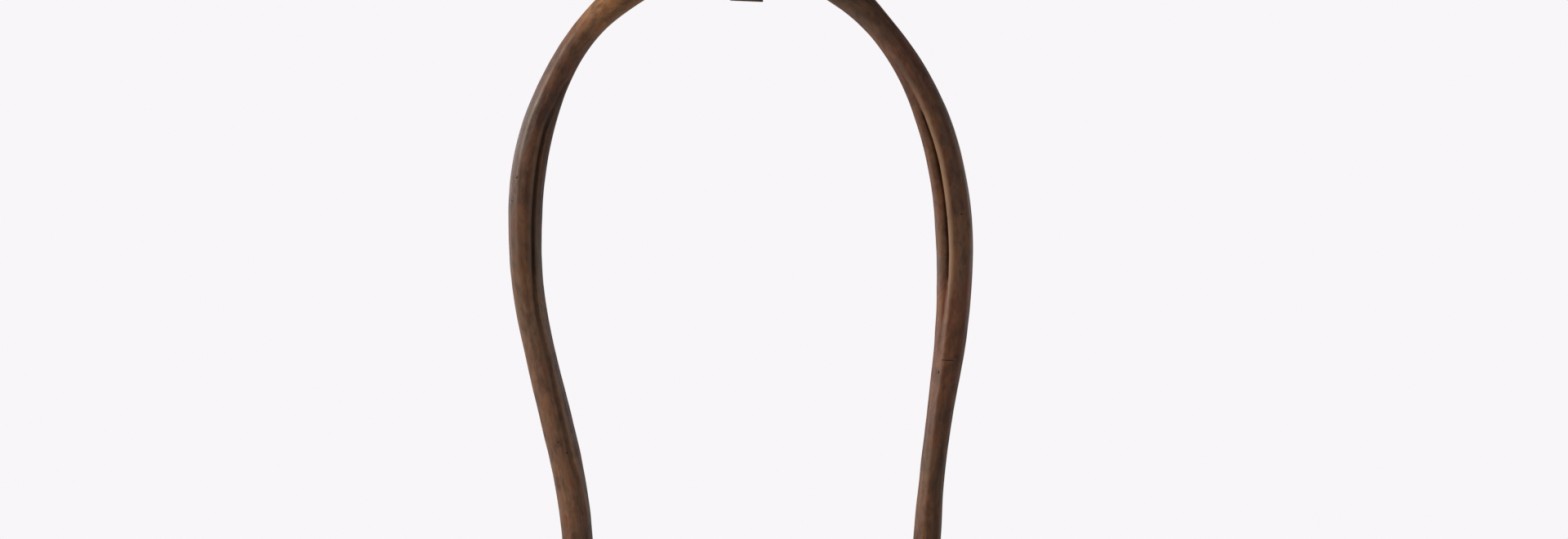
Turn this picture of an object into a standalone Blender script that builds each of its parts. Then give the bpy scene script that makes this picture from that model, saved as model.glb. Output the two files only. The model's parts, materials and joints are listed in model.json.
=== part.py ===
"""Single ox yoke hung by its bow: a bent bow, a carved neck beam, bow pins and forged draught irons.

Metres, +Z up, front towards -Y. The origin is where the hanging strap's loop bears on its hook.
"""
import math

import bmesh
import bpy
from mathutils import Matrix, Vector

GAP = 0.0003                  # between faces that touch on the real yoke

# Hanging strap: a leather loop round the bow's crown, riveted below it
STRAP_WIDTH = 0.029
STRAP_THICKNESS = 0.003
HOOK_RADIUS = 0.009           # inside of the loop's top
CROWN_Z = -0.0555             # middle of the bow's stock inside the strap
CROWN_RADIUS = 0.0172         # inside of the loop round the crown
TAIL_END = -0.0955
RIVET_Z = -0.085
RIVET_SPACING = 0.014
RIVET_SHANK = 0.002

# Bow: x, z and half-width of the stock, from the left leg's end over the crown to the right leg's
BOW_PATH = [
    (-0.148, -0.735, 0.0128), (-0.148, -0.685, 0.0132), (-0.148, -0.635, 0.0134),
    (-0.148, -0.592, 0.0134), (-0.150, -0.556, 0.0135), (-0.157, -0.510, 0.0139),
    (-0.170, -0.454, 0.0139), (-0.183, -0.400, 0.0133), (-0.192, -0.351, 0.0138),
    (-0.195, -0.300, 0.0146), (-0.193, -0.252, 0.0153), (-0.184, -0.207, 0.0143),
    (-0.166, -0.160, 0.0122), (-0.140, -0.119, 0.0117), (-0.106, -0.088, 0.0137),
    (-0.063, -0.064, 0.0146), (-0.011, -0.055, 0.0144), (0.041, -0.063, 0.0144),
    (0.086, -0.087, 0.0140), (0.119, -0.119, 0.0119), (0.147, -0.160, 0.0130),
    (0.167, -0.207, 0.0151), (0.178, -0.252, 0.0160), (0.183, -0.300, 0.0164),
    (0.183, -0.351, 0.0153), (0.179, -0.400, 0.0137), (0.171, -0.454, 0.0115),
    (0.164, -0.510, 0.0110), (0.160, -0.556, 0.0119), (0.158, -0.592, 0.0122),
    (0.158, -0.635, 0.0122), (0.158, -0.685, 0.0121), (0.158, -0.735, 0.0118),
]
BOW_STEPS = 2                 # stations to each span of the path
BOW_SIDES = 14
BOW_DEPTH = 0.0140            # half of the stock's depth, front to back
LEG_X = {"left": -0.148, "right": 0.158}

# Neck beam: distance from its middle, top, bottom, half-depth and edge radius
BEAM_X = 0.005
BEAM_SHAPE = [
    (0.000, -0.642, -0.706, 0.040, 0.013), (0.060, -0.636, -0.703, 0.040, 0.013),
    (0.110, -0.618, -0.696, 0.040, 0.013), (0.150, -0.611, -0.695, 0.040, 0.013),
    (0.195, -0.611, -0.694, 0.038, 0.013), (0.260, -0.604, -0.667, 0.031, 0.013),
    (0.320, -0.591, -0.638, 0.025, 0.012), (0.350, -0.583, -0.622, 0.0225, 0.011),
    (0.375, -0.577, -0.610, 0.021, 0.010),
]
BEAM_HALF = 0.375
BEAM_STATION = 0.0165
TIP_ROUND = 0.014
BOW_HOLE = 0.0155             # radius of the holes that the legs run in

# Bow pins and the iron plates that they bear on
PLATE = (0.070, 0.054, 0.004)
PLATE_TOP = -0.6908
PIN_SHANK = 0.0055
PIN_HOLE = 0.0062
PIN_FRONT = -0.038            # shoulder behind the pin's knob
PIN_BACK = 0.046
NAIL_AT = (0.027, 0.020)      # plate nails, from the middle of the leg
NAIL_SHANK = 0.0016
NAIL_HOLE = 0.0021
NAIL_LENGTH = 0.026
NAIL_HEAD = 0.0045

# Draught irons at the beam's ends
BOLT_AT = 0.325               # from the beam's middle
BOLT_SHANK = 0.005
BOLT_HOLE = 0.0054
SEAT_Y = 0.0232               # flat cut in the beam under each washer
SEAT_RADIUS = 0.013
WASHER = (0.0120, 0.0025)
NUT = (0.018, 0.009)
EYE_RADIUS = 0.0145
EYE_WIRE = 0.0045
RING_RADIUS = 0.0315
RING_WIRE = 0.0045
BAND_AT = (0.346, 0.362)
BAND_THICKNESS = 0.0024
BAND_NAIL_AT = 0.354

# Colour, roughness and metallic value of each material
FINISHES = {
    "bow_wood": ((0.110, 0.060, 0.036), 0.55, 0.0),
    "beam_wood": ((0.130, 0.075, 0.045), 0.60, 0.0),
    "pin_wood": ((0.230, 0.130, 0.070), 0.60, 0.0),
    "strap_leather": ((0.085, 0.040, 0.022), 0.65, 0.0),
    "forged_iron": ((0.060, 0.050, 0.045), 0.65, 1.0),
    "rivet_copper": ((0.420, 0.190, 0.110), 0.45, 1.0),
}


def clear_scene():
    for obj in list(bpy.data.objects):
        bpy.data.objects.remove(obj, do_unlink=True)


def make_collection(name):
    collection = bpy.data.collections.new(name)
    bpy.context.scene.collection.children.link(collection)
    return collection


def make_material(name):
    colour, roughness, metallic = FINISHES[name]
    material = bpy.data.materials.new(name)
    material.use_nodes = True
    shader = material.node_tree.nodes["Principled BSDF"]
    shader.inputs["Base Color"].default_value = (*colour, 1.0)
    shader.inputs["Roughness"].default_value = roughness
    shader.inputs["Metallic"].default_value = metallic
    return material


def move_to(obj, collection):
    for holder in list(obj.users_collection):
        holder.objects.unlink(obj)
    collection.objects.link(obj)


def finish(obj, name, finish_name, smooth=True):
    """Name a piece, give it a material of its own and put it in the yoke's collection."""
    obj.name = name
    obj.data.name = name
    material = make_material(finish_name)
    material.name = name + "_" + finish_name
    obj.data.materials.clear()
    obj.data.materials.append(material)
    for face in obj.data.polygons:
        face.use_smooth = smooth
    move_to(obj, yoke)
    return obj


def apply_modifiers(obj):
    mesh = bpy.data.meshes.new_from_object(obj.evaluated_get(bpy.context.evaluated_depsgraph_get()))
    obj.modifiers.clear()
    obj.data = mesh


def apply_scale_and_place(obj):
    obj.data.transform(obj.matrix_world)
    obj.matrix_world = Matrix()


def add_cylinder(radius, start, end, sides=16):
    """A round bar between two points."""
    start, end = Vector(start), Vector(end)
    bpy.ops.mesh.primitive_cylinder_add(vertices=sides, radius=radius, depth=(end - start).length)
    obj = bpy.context.object
    turn = (end - start).to_track_quat("Z", "Y").to_matrix().to_4x4()
    obj.matrix_world = Matrix.Translation((start + end) / 2) @ turn
    apply_scale_and_place(obj)
    return obj


def add_box(size, centre):
    bpy.ops.mesh.primitive_cube_add(size=1, location=centre)
    obj = bpy.context.object
    obj.scale = size
    bpy.context.view_layer.update()
    apply_scale_and_place(obj)
    return obj


def combine(obj, tools, operation):
    """Cut the tools from a piece, or weld them to it, in one step."""
    for tool in tools:
        modifier = obj.modifiers.new(operation, "BOOLEAN")
        modifier.operation = operation
        modifier.object = tool
        modifier.solver = "EXACT"
    bpy.context.view_layer.update()
    apply_modifiers(obj)
    for tool in tools:
        bpy.data.objects.remove(tool, do_unlink=True)


def cut(obj, tools):
    for tool in tools:
        move_to(tool, cutters)
        tool.hide_render = True
        tool.display_type = "WIRE"
    combine(obj, tools, "DIFFERENCE")


def soften(obj, width):
    modifier = obj.modifiers.new("Bevel", "BEVEL")
    modifier.width = width
    modifier.segments = 1
    bpy.context.view_layer.update()
    apply_modifiers(obj)


def loft(name, rings, closed=False):
    """A skin over unlike sections: capped at both ends, or joined end to end when closed."""
    shape = bmesh.new()
    rows = [[shape.verts.new(point) for point in ring] for ring in rings]
    count = len(rows[0])
    pairs = list(zip(rows, rows[1:]))
    if closed:
        pairs.append((rows[-1], rows[0]))
    for low, high in pairs:
        for i in range(count):
            j = (i + 1) % count
            shape.faces.new((low[i], low[j], high[j], high[i]))
    if not closed:
        shape.faces.new(rows[0])
        shape.faces.new(rows[-1])
    bmesh.ops.recalc_face_normals(shape, faces=shape.faces)
    mesh = bpy.data.meshes.new(name)
    shape.to_mesh(mesh)
    shape.free()
    obj = bpy.data.objects.new(name, mesh)
    yoke.objects.link(obj)
    return obj


def turn_profile(profile, sides, place):
    """Turn an (r, z) profile, listed from the top down, round Z and put it in place."""
    shape = bmesh.new()
    points = [shape.verts.new((radius, 0.0, height)) for radius, height in profile]
    for low, high in zip(points, points[1:]):
        shape.edges.new((low, high))
    mesh = bpy.data.meshes.new("profile")
    shape.to_mesh(mesh)
    shape.free()
    obj = bpy.data.objects.new("profile", mesh)
    yoke.objects.link(obj)
    screw = obj.modifiers.new("Screw", "SCREW")
    screw.steps = sides
    screw.render_steps = sides
    screw.use_merge_vertices = True
    screw.merge_threshold = 0.00005
    bpy.context.view_layer.update()
    apply_modifiers(obj)
    obj.matrix_world = place
    apply_scale_and_place(obj)
    return obj


def along_y(point, sign):
    """A frame at a point whose +Z runs along the world's +Y or -Y."""
    return Matrix.Translation(point) @ Matrix.Rotation(-sign * math.pi / 2, 4, "X")


# ---- hanging strap ----

def belt_outline(extra):
    """The strap's outline round the crown and over the hook, as (y, z) points."""
    big, small = CROWN_RADIUS + extra, HOOK_RADIUS + extra
    hook_z = -HOOK_RADIUS
    lean = math.asin((big - small) / (hook_z - CROWN_Z))
    points = []
    for i in range(9):
        angle = lean + (math.pi - 2 * lean) * i / 8
        points.append((small * math.cos(angle), hook_z + small * math.sin(angle)))
    for i in range(15):
        angle = math.pi - lean + (math.pi + 2 * lean) * i / 14
        points.append((big * math.cos(angle), CROWN_Z + big * math.sin(angle)))
    return points


def make_strap():
    curve = bpy.data.curves.new("hanging_strap", "CURVE")
    curve.dimensions = "2D"
    curve.fill_mode = "BOTH"
    curve.extrude = STRAP_WIDTH / 2
    for extra in (STRAP_THICKNESS, 0.0):
        points = belt_outline(extra)
        spline = curve.splines.new("POLY")
        spline.points.add(len(points) - 1)
        for point, (y, z) in zip(spline.points, points):
            point.co = (y, z, 0.0, 1.0)
        spline.use_cyclic_u = True
    source = bpy.data.objects.new("strap_curve", curve)
    yoke.objects.link(source)
    bpy.context.view_layer.update()
    evaluated = source.evaluated_get(bpy.context.evaluated_depsgraph_get())
    mesh = bpy.data.meshes.new_from_object(evaluated)
    bpy.data.objects.remove(source, do_unlink=True)
    shape = bmesh.new()
    shape.from_mesh(mesh)
    bmesh.ops.remove_doubles(shape, verts=shape.verts, dist=0.00005)
    shape.to_mesh(mesh)
    shape.free()
    mesh.transform(Matrix(((0, 0, 1, 0), (1, 0, 0, 0), (0, 1, 0, 0), (0, 0, 0, 1))))
    strap = bpy.data.objects.new("hanging_strap", mesh)
    yoke.objects.link(strap)
    tail_top = CROWN_Z - CROWN_RADIUS - STRAP_THICKNESS / 2
    tail = add_box((STRAP_WIDTH, STRAP_THICKNESS * 2, tail_top - TAIL_END),
                   (0, 0, (tail_top + TAIL_END) / 2))
    combine(strap, [tail], "UNION")
    holes = [add_cylinder(RIVET_SHANK + GAP, (x, -0.01, RIVET_Z), (x, 0.01, RIVET_Z), 10) for x in rivet_xs()]
    cut(strap, holes)
    return finish(strap, "hanging_strap", "strap_leather", smooth=False)


def rivet_xs():
    return (-RIVET_SPACING / 2, RIVET_SPACING / 2)


def make_rivet(name, x):
    """A copper rivet with its washer burred over, through both plies of the tail."""
    face = STRAP_THICKNESS + GAP
    profile = [
        (0.0, face + 0.0016), (0.0022, face + 0.0014), (0.0042, face + 0.0004), (0.0042, face),
        (RIVET_SHANK, face), (RIVET_SHANK, -face), (0.0042, -face), (0.0042, -face - 0.0010),
        (0.0020, -face - 0.0018), (0.0, -face - 0.0020),
    ]
    rivet = turn_profile(profile, 12, along_y((x, 0, RIVET_Z), -1))
    return finish(rivet, name, "rivet_copper")


# ---- bow ----

def spline_point(points, index, t):
    """A point on the smooth curve through the listed points, between index and index + 1."""
    last = len(points) - 1
    a, b, c, d = (Vector(points[min(max(index + k, 0), last)]) for k in (-1, 0, 1, 2))
    return 0.5 * (2 * b + (c - a) * t + (2 * a - 5 * b + 4 * c - d) * t ** 2
                  + (3 * b - a - 3 * c + d) * t ** 3)


def bow_stations():
    stations = []
    for index in range(len(BOW_PATH) - 1):
        for step in range(BOW_STEPS):
            stations.append(spline_point(BOW_PATH, index, step / BOW_STEPS))
    stations.append(Vector(BOW_PATH[-1]))
    return stations


def bow_ring(centre, along, half_width, shrink=1.0):
    across = Vector((-along.z, 0, along.x))
    ring = []
    for i in range(BOW_SIDES):
        angle = 2 * math.pi * (i + 0.5) / BOW_SIDES
        point = centre + across * half_width * shrink * math.cos(angle)
        ring.append(point + Vector((0, BOW_DEPTH * shrink * math.sin(angle), 0)))
    return ring


def make_bow():
    stations = bow_stations()
    rings = []
    for i, (x, z, half_width) in enumerate(stations):
        before, after = stations[max(i - 1, 0)], stations[min(i + 1, len(stations) - 1)]
        along = Vector((after[0] - before[0], 0, after[1] - before[1])).normalized()
        at_end = i in (0, len(stations) - 1)
        rings.append(bow_ring(Vector((x, 0, z)), along, half_width, 0.82 if at_end else 1.0))
    bow = loft("ox_bow", rings)
    cut(bow, [add_cylinder(PIN_HOLE, (x, -0.03, pin_z()), (x, 0.03, pin_z())) for x in LEG_X.values()])
    return finish(bow, "ox_bow", "bow_wood")


# ---- neck beam ----

def beam_section(distance):
    """Top, bottom, half-depth and edge radius, with no overshoot between the listed sections."""
    table = BEAM_SHAPE
    index = max(i for i in range(len(table) - 1) if table[i][0] <= distance or i == 0)
    start, end = table[index], table[index + 1]
    span = end[0] - start[0]
    t = (distance - start[0]) / span
    values = []
    for k in range(1, 5):
        m0, m1 = (table_slope(i, k) * span for i in (index, index + 1))
        step = end[k] - start[k]
        values.append(start[k] + m0 * t + (3 * step - 2 * m0 - m1) * t ** 2 + (m0 + m1 - 2 * step) * t ** 3)
    return values


def table_slope(index, column):
    """The curve's slope at a listed section: the harmonic mean of its neighbours' slopes."""
    if index == 0:
        return 0.0
    rows = BEAM_SHAPE[index - 1:index + 2]
    slopes = [(b[column] - a[column]) / (b[0] - a[0]) for a, b in zip(rows, rows[1:])]
    if len(slopes) == 1:
        return slopes[0]
    if slopes[0] * slopes[1] <= 0:
        return 0.0
    return 2 * slopes[0] * slopes[1] / (slopes[0] + slopes[1])


def beam_ring(x, distance, shrink=1.0, grow=0.0):
    """A rounded rectangle across the beam."""
    top, bottom, half_depth, corner = beam_section(distance)
    half_height = (top - bottom) / 2 * shrink + grow
    half_depth = half_depth * shrink + grow
    corner = corner * shrink + grow
    middle = (top + bottom) / 2
    ring = []
    for quarter in range(4):
        y_side = 1 if quarter in (0, 3) else -1
        z_side = 1 if quarter in (0, 1) else -1
        for i in range(4):
            angle = math.pi / 2 * (quarter + i / 3)
            y = y_side * (half_depth - corner) + corner * math.cos(angle)
            z = z_side * (half_height - corner) + corner * math.sin(angle)
            ring.append((x, y, middle + z))
    return ring


def beam_rings():
    straight = BEAM_HALF - TIP_ROUND
    count = round(straight / BEAM_STATION)
    stations = [(straight * i / count, 1.0) for i in range(count + 1)]
    for i in range(1, 5):
        rise = math.sin(math.pi / 2 * i / 4.4)
        stations.append((straight + TIP_ROUND * rise, math.sqrt(1 - rise ** 2)))
    right = [beam_ring(BEAM_X + distance, distance, shrink) for distance, shrink in stations]
    left = [beam_ring(BEAM_X - distance, distance, shrink) for distance, shrink in stations[1:]]
    return left[::-1] + right


def bolt_z():
    top, bottom = beam_section(BOLT_AT)[:2]
    return (top + bottom) / 2


def beam_cutters():
    tools = []
    for leg_x in LEG_X.values():
        tools.append(add_cylinder(BOW_HOLE, (leg_x, 0, -0.76), (leg_x, 0, -0.58), 24))
        recess = (PLATE[0] + 2 * GAP, PLATE[1] + 2 * GAP, 0.030)
        tools.append(add_box(recess, (leg_x, 0, PLATE_TOP + GAP - 0.015)))
        for x, y in nail_places(leg_x):
            tools.append(add_cylinder(NAIL_HOLE, (x, y, PLATE_TOP - 0.002), (x, y, nail_tip() + 0.001), 8))
    for side in (-1, 1):
        x, z = BEAM_X + side * BOLT_AT, bolt_z()
        tools.append(add_cylinder(BOLT_HOLE, (x, -0.05, z), (x, 0.05, z), 16))
        tools.append(add_cylinder(SEAT_RADIUS, (x, SEAT_Y, z), (x, 0.05, z), 24))
        tools.append(add_cylinder(SEAT_RADIUS, (x, -0.05, z), (x, -SEAT_Y, z), 24))
        x, front, middle = band_nail_place(side)
        tools.append(add_cylinder(NAIL_HOLE, (x, front, middle), (x, front + NAIL_LENGTH + 0.001, middle), 8))
    return tools


def make_beam():
    beam = loft("neck_beam", beam_rings())
    cut(beam, beam_cutters())
    return finish(beam, "neck_beam", "beam_wood")


# ---- pins, plates and nails ----

def pin_z():
    return PLATE_TOP - PLATE[2] - GAP - PIN_SHANK


def make_pin(name, leg_x):
    """A whittled wooden pin with a knob in front, below the plate."""
    profile = [
        (0.0, 0.021), (0.0050, 0.0205), (0.0085, 0.018), (0.0098, 0.014), (0.0100, 0.008),
        (0.0088, 0.003), (0.0068, 0.0), (PIN_SHANK, -0.002), (PIN_SHANK, PIN_FRONT - PIN_BACK + 0.016),
        (0.0048, PIN_FRONT - PIN_BACK + 0.004), (0.0034, PIN_FRONT - PIN_BACK),
        (0.0, PIN_FRONT - PIN_BACK),
    ]
    pin = turn_profile(profile, 14, along_y((leg_x, PIN_FRONT, pin_z()), -1))
    return finish(pin, name, "pin_wood")


def nail_places(leg_x):
    return [(leg_x + i * NAIL_AT[0], j * NAIL_AT[1]) for j in (-1, 1) for i in (-1, 1)]


def nail_tip():
    return PLATE_TOP - PLATE[2] + NAIL_LENGTH


def make_nail(name, place):
    """A hand-forged nail with a faceted head; +Z of its frame points out of the head."""
    profile = [
        (0.0, 0.0024), (NAIL_HEAD * 0.55, 0.0018), (NAIL_HEAD, 0.0006), (NAIL_HEAD, 0.0),
        (NAIL_SHANK, 0.0), (NAIL_SHANK, -NAIL_LENGTH * 0.7), (0.0, -NAIL_LENGTH),
    ]
    nail = turn_profile(profile, 6, place)
    return finish(nail, name, "forged_iron", smooth=False)


def make_plate(name, leg_x):
    low = PLATE_TOP - PLATE[2]
    plate = add_box(PLATE, (leg_x, 0, (PLATE_TOP + low) / 2))
    soften(plate, 0.0006)
    tools = [add_cylinder(BOW_HOLE + 0.0006, (leg_x, 0, low - 0.01), (leg_x, 0, PLATE_TOP + 0.01), 24)]
    for x, y in nail_places(leg_x):
        tools.append(add_cylinder(NAIL_HOLE, (x, y, low - 0.01), (x, y, PLATE_TOP + 0.01), 8))
    cut(plate, tools)
    return finish(plate, name, "forged_iron", smooth=False)


def make_plate_nails(side, leg_x):
    head_z = PLATE_TOP - PLATE[2] - GAP
    for number, (x, y) in enumerate(nail_places(leg_x), 1):
        place = Matrix.Translation((x, y, head_z)) @ Matrix.Rotation(math.pi, 4, "X")
        make_nail(f"plate_nail_{side}_{number}", place)


# ---- draught irons ----

def band_nail_place(side):
    """Where a band's nail enters: x, the band's front face and the beam's middle height."""
    top, bottom, half_depth, _ = beam_section(BAND_NAIL_AT)
    front = -half_depth - GAP - BAND_THICKNESS - 0.0005
    return BEAM_X + side * BAND_NAIL_AT, front, (top + bottom) / 2


def make_band(name, side):
    """An iron hoop that follows the tapering beam."""
    start, end = BAND_AT
    stations = [start + (end - start) * i / 2 for i in range(3)]
    outer = [beam_ring(BEAM_X + side * d, d, grow=GAP + BAND_THICKNESS) for d in stations]
    inner = [beam_ring(BEAM_X + side * d, d, grow=GAP) for d in stations[::-1]]
    band = loft(name, outer + inner, closed=True)
    x, front, z = band_nail_place(side)
    cut(band, [add_cylinder(NAIL_HOLE, (x, front - 0.002, z), (x, front + 0.008, z), 8)])
    return finish(band, name, "forged_iron", smooth=False)


def washer_y():
    """The inner faces of the washers, which lie on the flats cut in the beam."""
    return SEAT_Y + GAP


def eye_y():
    return washer_y() + WASHER[1] + GAP + EYE_RADIUS + EYE_WIRE


def make_eye_bolt(name, x):
    """A forged bolt with its eye behind the beam and its end through the nut in front."""
    z = bolt_z()
    front = -(washer_y() + WASHER[1] + GAP + NUT[1] + 0.004)
    bpy.ops.mesh.primitive_torus_add(major_radius=EYE_RADIUS, minor_radius=EYE_WIRE,
                                     major_segments=24, minor_segments=8,
                                     location=(x, eye_y(), z), rotation=(0, math.pi / 2, 0))
    eye = bpy.context.object
    bpy.context.view_layer.update()
    apply_scale_and_place(eye)
    shank = add_cylinder(BOLT_SHANK, (x, front, z), (x, eye_y() - EYE_RADIUS, z), 14)
    combine(eye, [shank], "UNION")
    return finish(eye, name, "forged_iron")


def make_washer(name, x, side):
    inner = side * washer_y()
    outer = inner + side * WASHER[1]
    washer = add_cylinder(WASHER[0], (x, inner, bolt_z()), (x, outer, bolt_z()), 20)
    cut(washer, [add_cylinder(BOLT_HOLE, (x, -0.06, bolt_z()), (x, 0.06, bolt_z()), 14)])
    return finish(washer, name, "forged_iron", smooth=False)


def make_nut(name, x):
    back = -(washer_y() + WASHER[1] + GAP)
    nut = add_box((NUT[0], NUT[1], NUT[0]), (x, back - NUT[1] / 2, bolt_z()))
    soften(nut, 0.0008)
    cut(nut, [add_cylinder(BOLT_HOLE, (x, -0.06, bolt_z()), (x, 0, bolt_z()), 14)])
    return finish(nut, name, "forged_iron", smooth=False)


def ring_pivot_z():
    return bolt_z() - (EYE_RADIUS - EYE_WIRE - RING_WIRE - GAP)


def make_ring(name, x):
    """A forged ring hanging in the eye, with its origin on the line that it swings about."""
    bpy.ops.mesh.primitive_torus_add(major_radius=RING_RADIUS, minor_radius=RING_WIRE,
                                     major_segments=32, minor_segments=8,
                                     location=(x, eye_y(), ring_pivot_z() - RING_RADIUS),
                                     rotation=(math.pi / 2, 0, 0))
    ring = bpy.context.object
    bpy.context.view_layer.update()
    apply_scale_and_place(ring)
    pivot = Vector((x, eye_y(), ring_pivot_z()))
    ring.data.transform(Matrix.Translation(-pivot))
    ring.location = pivot
    return finish(ring, name, "forged_iron")


clear_scene()
yoke = make_collection("ox_yoke")
cutters = make_collection("cutters")

make_strap()
for side, x in zip(("left", "right"), rivet_xs()):
    make_rivet(f"strap_rivet_{side}", x)
make_bow()
make_beam()
for side, leg_x in LEG_X.items():
    make_pin(f"bow_pin_{side}", leg_x)
    make_plate(f"pin_plate_{side}", leg_x)
    make_plate_nails(side, leg_x)
for side, sign in (("left", -1), ("right", 1)):
    bolt_x = BEAM_X + sign * BOLT_AT
    make_band(f"end_band_{side}", sign)
    nail_x, nail_y, nail_z = band_nail_place(sign)
    make_nail(f"band_nail_{side}", along_y((nail_x, nail_y, nail_z), -1))
    make_eye_bolt(f"eye_bolt_{side}", bolt_x)
    make_washer(f"eye_washer_{side}", bolt_x, 1)
    make_washer(f"nut_washer_{side}", bolt_x, -1)
    make_nut(f"square_nut_{side}", bolt_x)
    make_ring(f"trace_ring_{side}", bolt_x)
bpy.context.view_layer.update()
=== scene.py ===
import json
import math

import bmesh
import bpy
from mathutils import Matrix, Vector, kdtree, noise

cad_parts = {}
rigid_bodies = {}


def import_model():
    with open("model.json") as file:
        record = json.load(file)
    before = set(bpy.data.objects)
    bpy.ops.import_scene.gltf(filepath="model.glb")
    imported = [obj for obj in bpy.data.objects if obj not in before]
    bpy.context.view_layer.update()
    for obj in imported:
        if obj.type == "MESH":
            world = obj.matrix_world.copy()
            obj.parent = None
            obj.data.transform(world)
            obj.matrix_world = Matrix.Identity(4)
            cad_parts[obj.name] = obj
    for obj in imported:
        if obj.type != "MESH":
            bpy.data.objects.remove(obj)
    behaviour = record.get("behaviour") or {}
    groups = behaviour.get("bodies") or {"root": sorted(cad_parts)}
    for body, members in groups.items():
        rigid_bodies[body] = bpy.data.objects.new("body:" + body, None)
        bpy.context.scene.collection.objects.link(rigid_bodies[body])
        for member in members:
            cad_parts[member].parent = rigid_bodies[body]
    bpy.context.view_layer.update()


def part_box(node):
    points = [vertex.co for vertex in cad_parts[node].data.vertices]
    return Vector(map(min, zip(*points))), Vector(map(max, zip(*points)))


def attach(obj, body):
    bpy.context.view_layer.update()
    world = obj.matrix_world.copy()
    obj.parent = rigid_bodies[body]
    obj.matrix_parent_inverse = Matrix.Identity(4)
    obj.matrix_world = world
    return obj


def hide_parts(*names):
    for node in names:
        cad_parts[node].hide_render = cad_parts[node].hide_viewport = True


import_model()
mm = 0.001


def linear(hexColour, alpha=1.0):
    # an sRGB hex colour as linear RGBA
    values = [int(hexColour[i:i + 2], 16) / 255 for i in (1, 3, 5)]
    return (*[v / 12.92 if v <= 0.04045 else ((v + 0.055) / 1.055) ** 2.4 for v in values], alpha)


def addNode(tree, kind, settings=None, links=None):
    # settings are the node's own fields, its sockets' values or a ramp's stops; links are socket: source
    # a colour Mix has its colours at 6 and 7 and gives its result at 2
    node = tree.nodes.new(kind)
    for name, value in (settings or {}).items():
        if name == "stops":
            elements = node.color_ramp.elements
            elements.remove(elements[1])
            elements[0].position = value[0][0]
            for position, _ in value[1:]:
                elements.new(position)
            for element, (_, colour) in zip(elements, value):
                element.color = linear(colour) if isinstance(colour, str) else (colour, colour, colour, 1)
        elif isinstance(name, str) and hasattr(node, name):
            setattr(node, name, value)
        else:
            node.inputs[name].default_value = value
    for name, source in (links or {}).items():
        tree.links.new(source, node.inputs[name])
    return node


def startMaterial(name, settings):
    material = bpy.data.materials.new(name)
    material.use_nodes = True
    tree = material.node_tree
    shader = tree.nodes["Principled BSDF"]
    for socket, value in settings.items():
        shader.inputs[socket].default_value = value
    return material, tree, shader


def wave(point, scale, seed=0.0):
    # smooth seeded noise between about -1 and 1
    return noise.noise(Vector(point) * scale + Vector((seed, seed * 1.7, -seed)))


def readTable(table, at):
    # values at a place in a table sorted by its first column, eased between rows
    if at <= table[0][0]:
        return table[0][1:]
    for low, high in zip(table, table[1:]):
        if at <= high[0]:
            t = (at - low[0]) / (high[0] - low[0])
            t = t * t * (3 - 2 * t)
            return [a + (b - a) * t for a, b in zip(low[1:], high[1:])]
    return table[-1][1:]


def keep(mesh, label, values):
    # one number or vector per point, for the materials to read
    if isinstance(values[0], (tuple, list, Vector)):
        mesh.attributes.new(label, "FLOAT_VECTOR", "POINT").data.foreach_set(
            "vector", [number for value in values for number in value])
    else:
        mesh.attributes.new(label, "FLOAT", "POINT").data.foreach_set("value", values)


def keepNearest(mesh, label, points, values):
    # the same, from the nearest of the points that the values belong to
    tree = kdtree.KDTree(len(points))
    for i, point in enumerate(points):
        tree.insert(point, i)
    tree.balance()
    if label in mesh.attributes:
        mesh.attributes.remove(mesh.attributes[label])
    keep(mesh, label, [values[tree.find(vertex.co)[1]] for vertex in mesh.vertices])


def makePiece(name, mesh, material, body, slot, *nodes):
    piece = bpy.data.objects.new(name, mesh)
    mesh.name = name
    bpy.context.scene.collection.objects.link(piece)
    mesh.materials.clear()
    mesh.materials.append(material)
    for face in mesh.polygons:
        face.use_smooth = True
        face.material_index = 0
    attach(piece, body)
    if nodes:
        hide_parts(*nodes)
    return piece


def runTree(tree, mesh, values):
    # the tree's result on a mesh, as a plain mesh
    source = bpy.data.objects.new("source", mesh)
    bpy.context.scene.collection.objects.link(source)
    modifier = source.modifiers.new("Nodes", "NODES")
    modifier.node_group = tree
    for item in tree.interface.items_tree:
        if item.item_type == "SOCKET" and item.in_out == "INPUT" and item.name in values:
            modifier[item.identifier] = values[item.name]
    bpy.context.view_layer.update()
    result = bpy.data.meshes.new_from_object(source.evaluated_get(bpy.context.evaluated_depsgraph_get()))
    source.modifiers.clear()
    bpy.data.objects.remove(source, do_unlink=True)
    return result


def startTree(name, sockets):
    tree = bpy.data.node_groups.new(name, "GeometryNodeTree")
    tree.interface.new_socket("Geometry", in_out="INPUT", socket_type="NodeSocketGeometry")
    for label, kind in sockets:
        tree.interface.new_socket(label, in_out="INPUT", socket_type=kind)
    tree.interface.new_socket("Geometry", in_out="OUTPUT", socket_type="NodeSocketGeometry")
    return tree, addNode(tree, "NodeGroupInput").outputs


def rod(start, end, radius, sides=32):
    # a round bar between two places
    start, end = Vector(start), Vector(end)
    turn = (end - start).to_track_quat("Z", "Y").to_matrix().to_4x4()
    shape = bmesh.new()
    bmesh.ops.create_cone(shape, cap_ends=True, segments=sides, radius1=radius, radius2=radius,
                          depth=(end - start).length, matrix=Matrix.Translation((start + end) / 2) @ turn)
    return fromShape(shape)


def slab(size, centre):
    # a square-cornered block
    shape = bmesh.new()
    bmesh.ops.create_cube(shape, size=1, matrix=Matrix.Translation(centre) @ Matrix.Diagonal((*size, 1)))
    return fromShape(shape)


def fromShape(shape):
    bmesh.ops.recalc_face_normals(shape, faces=shape.faces)
    mesh = bpy.data.meshes.new("shape")
    shape.to_mesh(mesh)
    shape.free()
    return mesh


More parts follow.
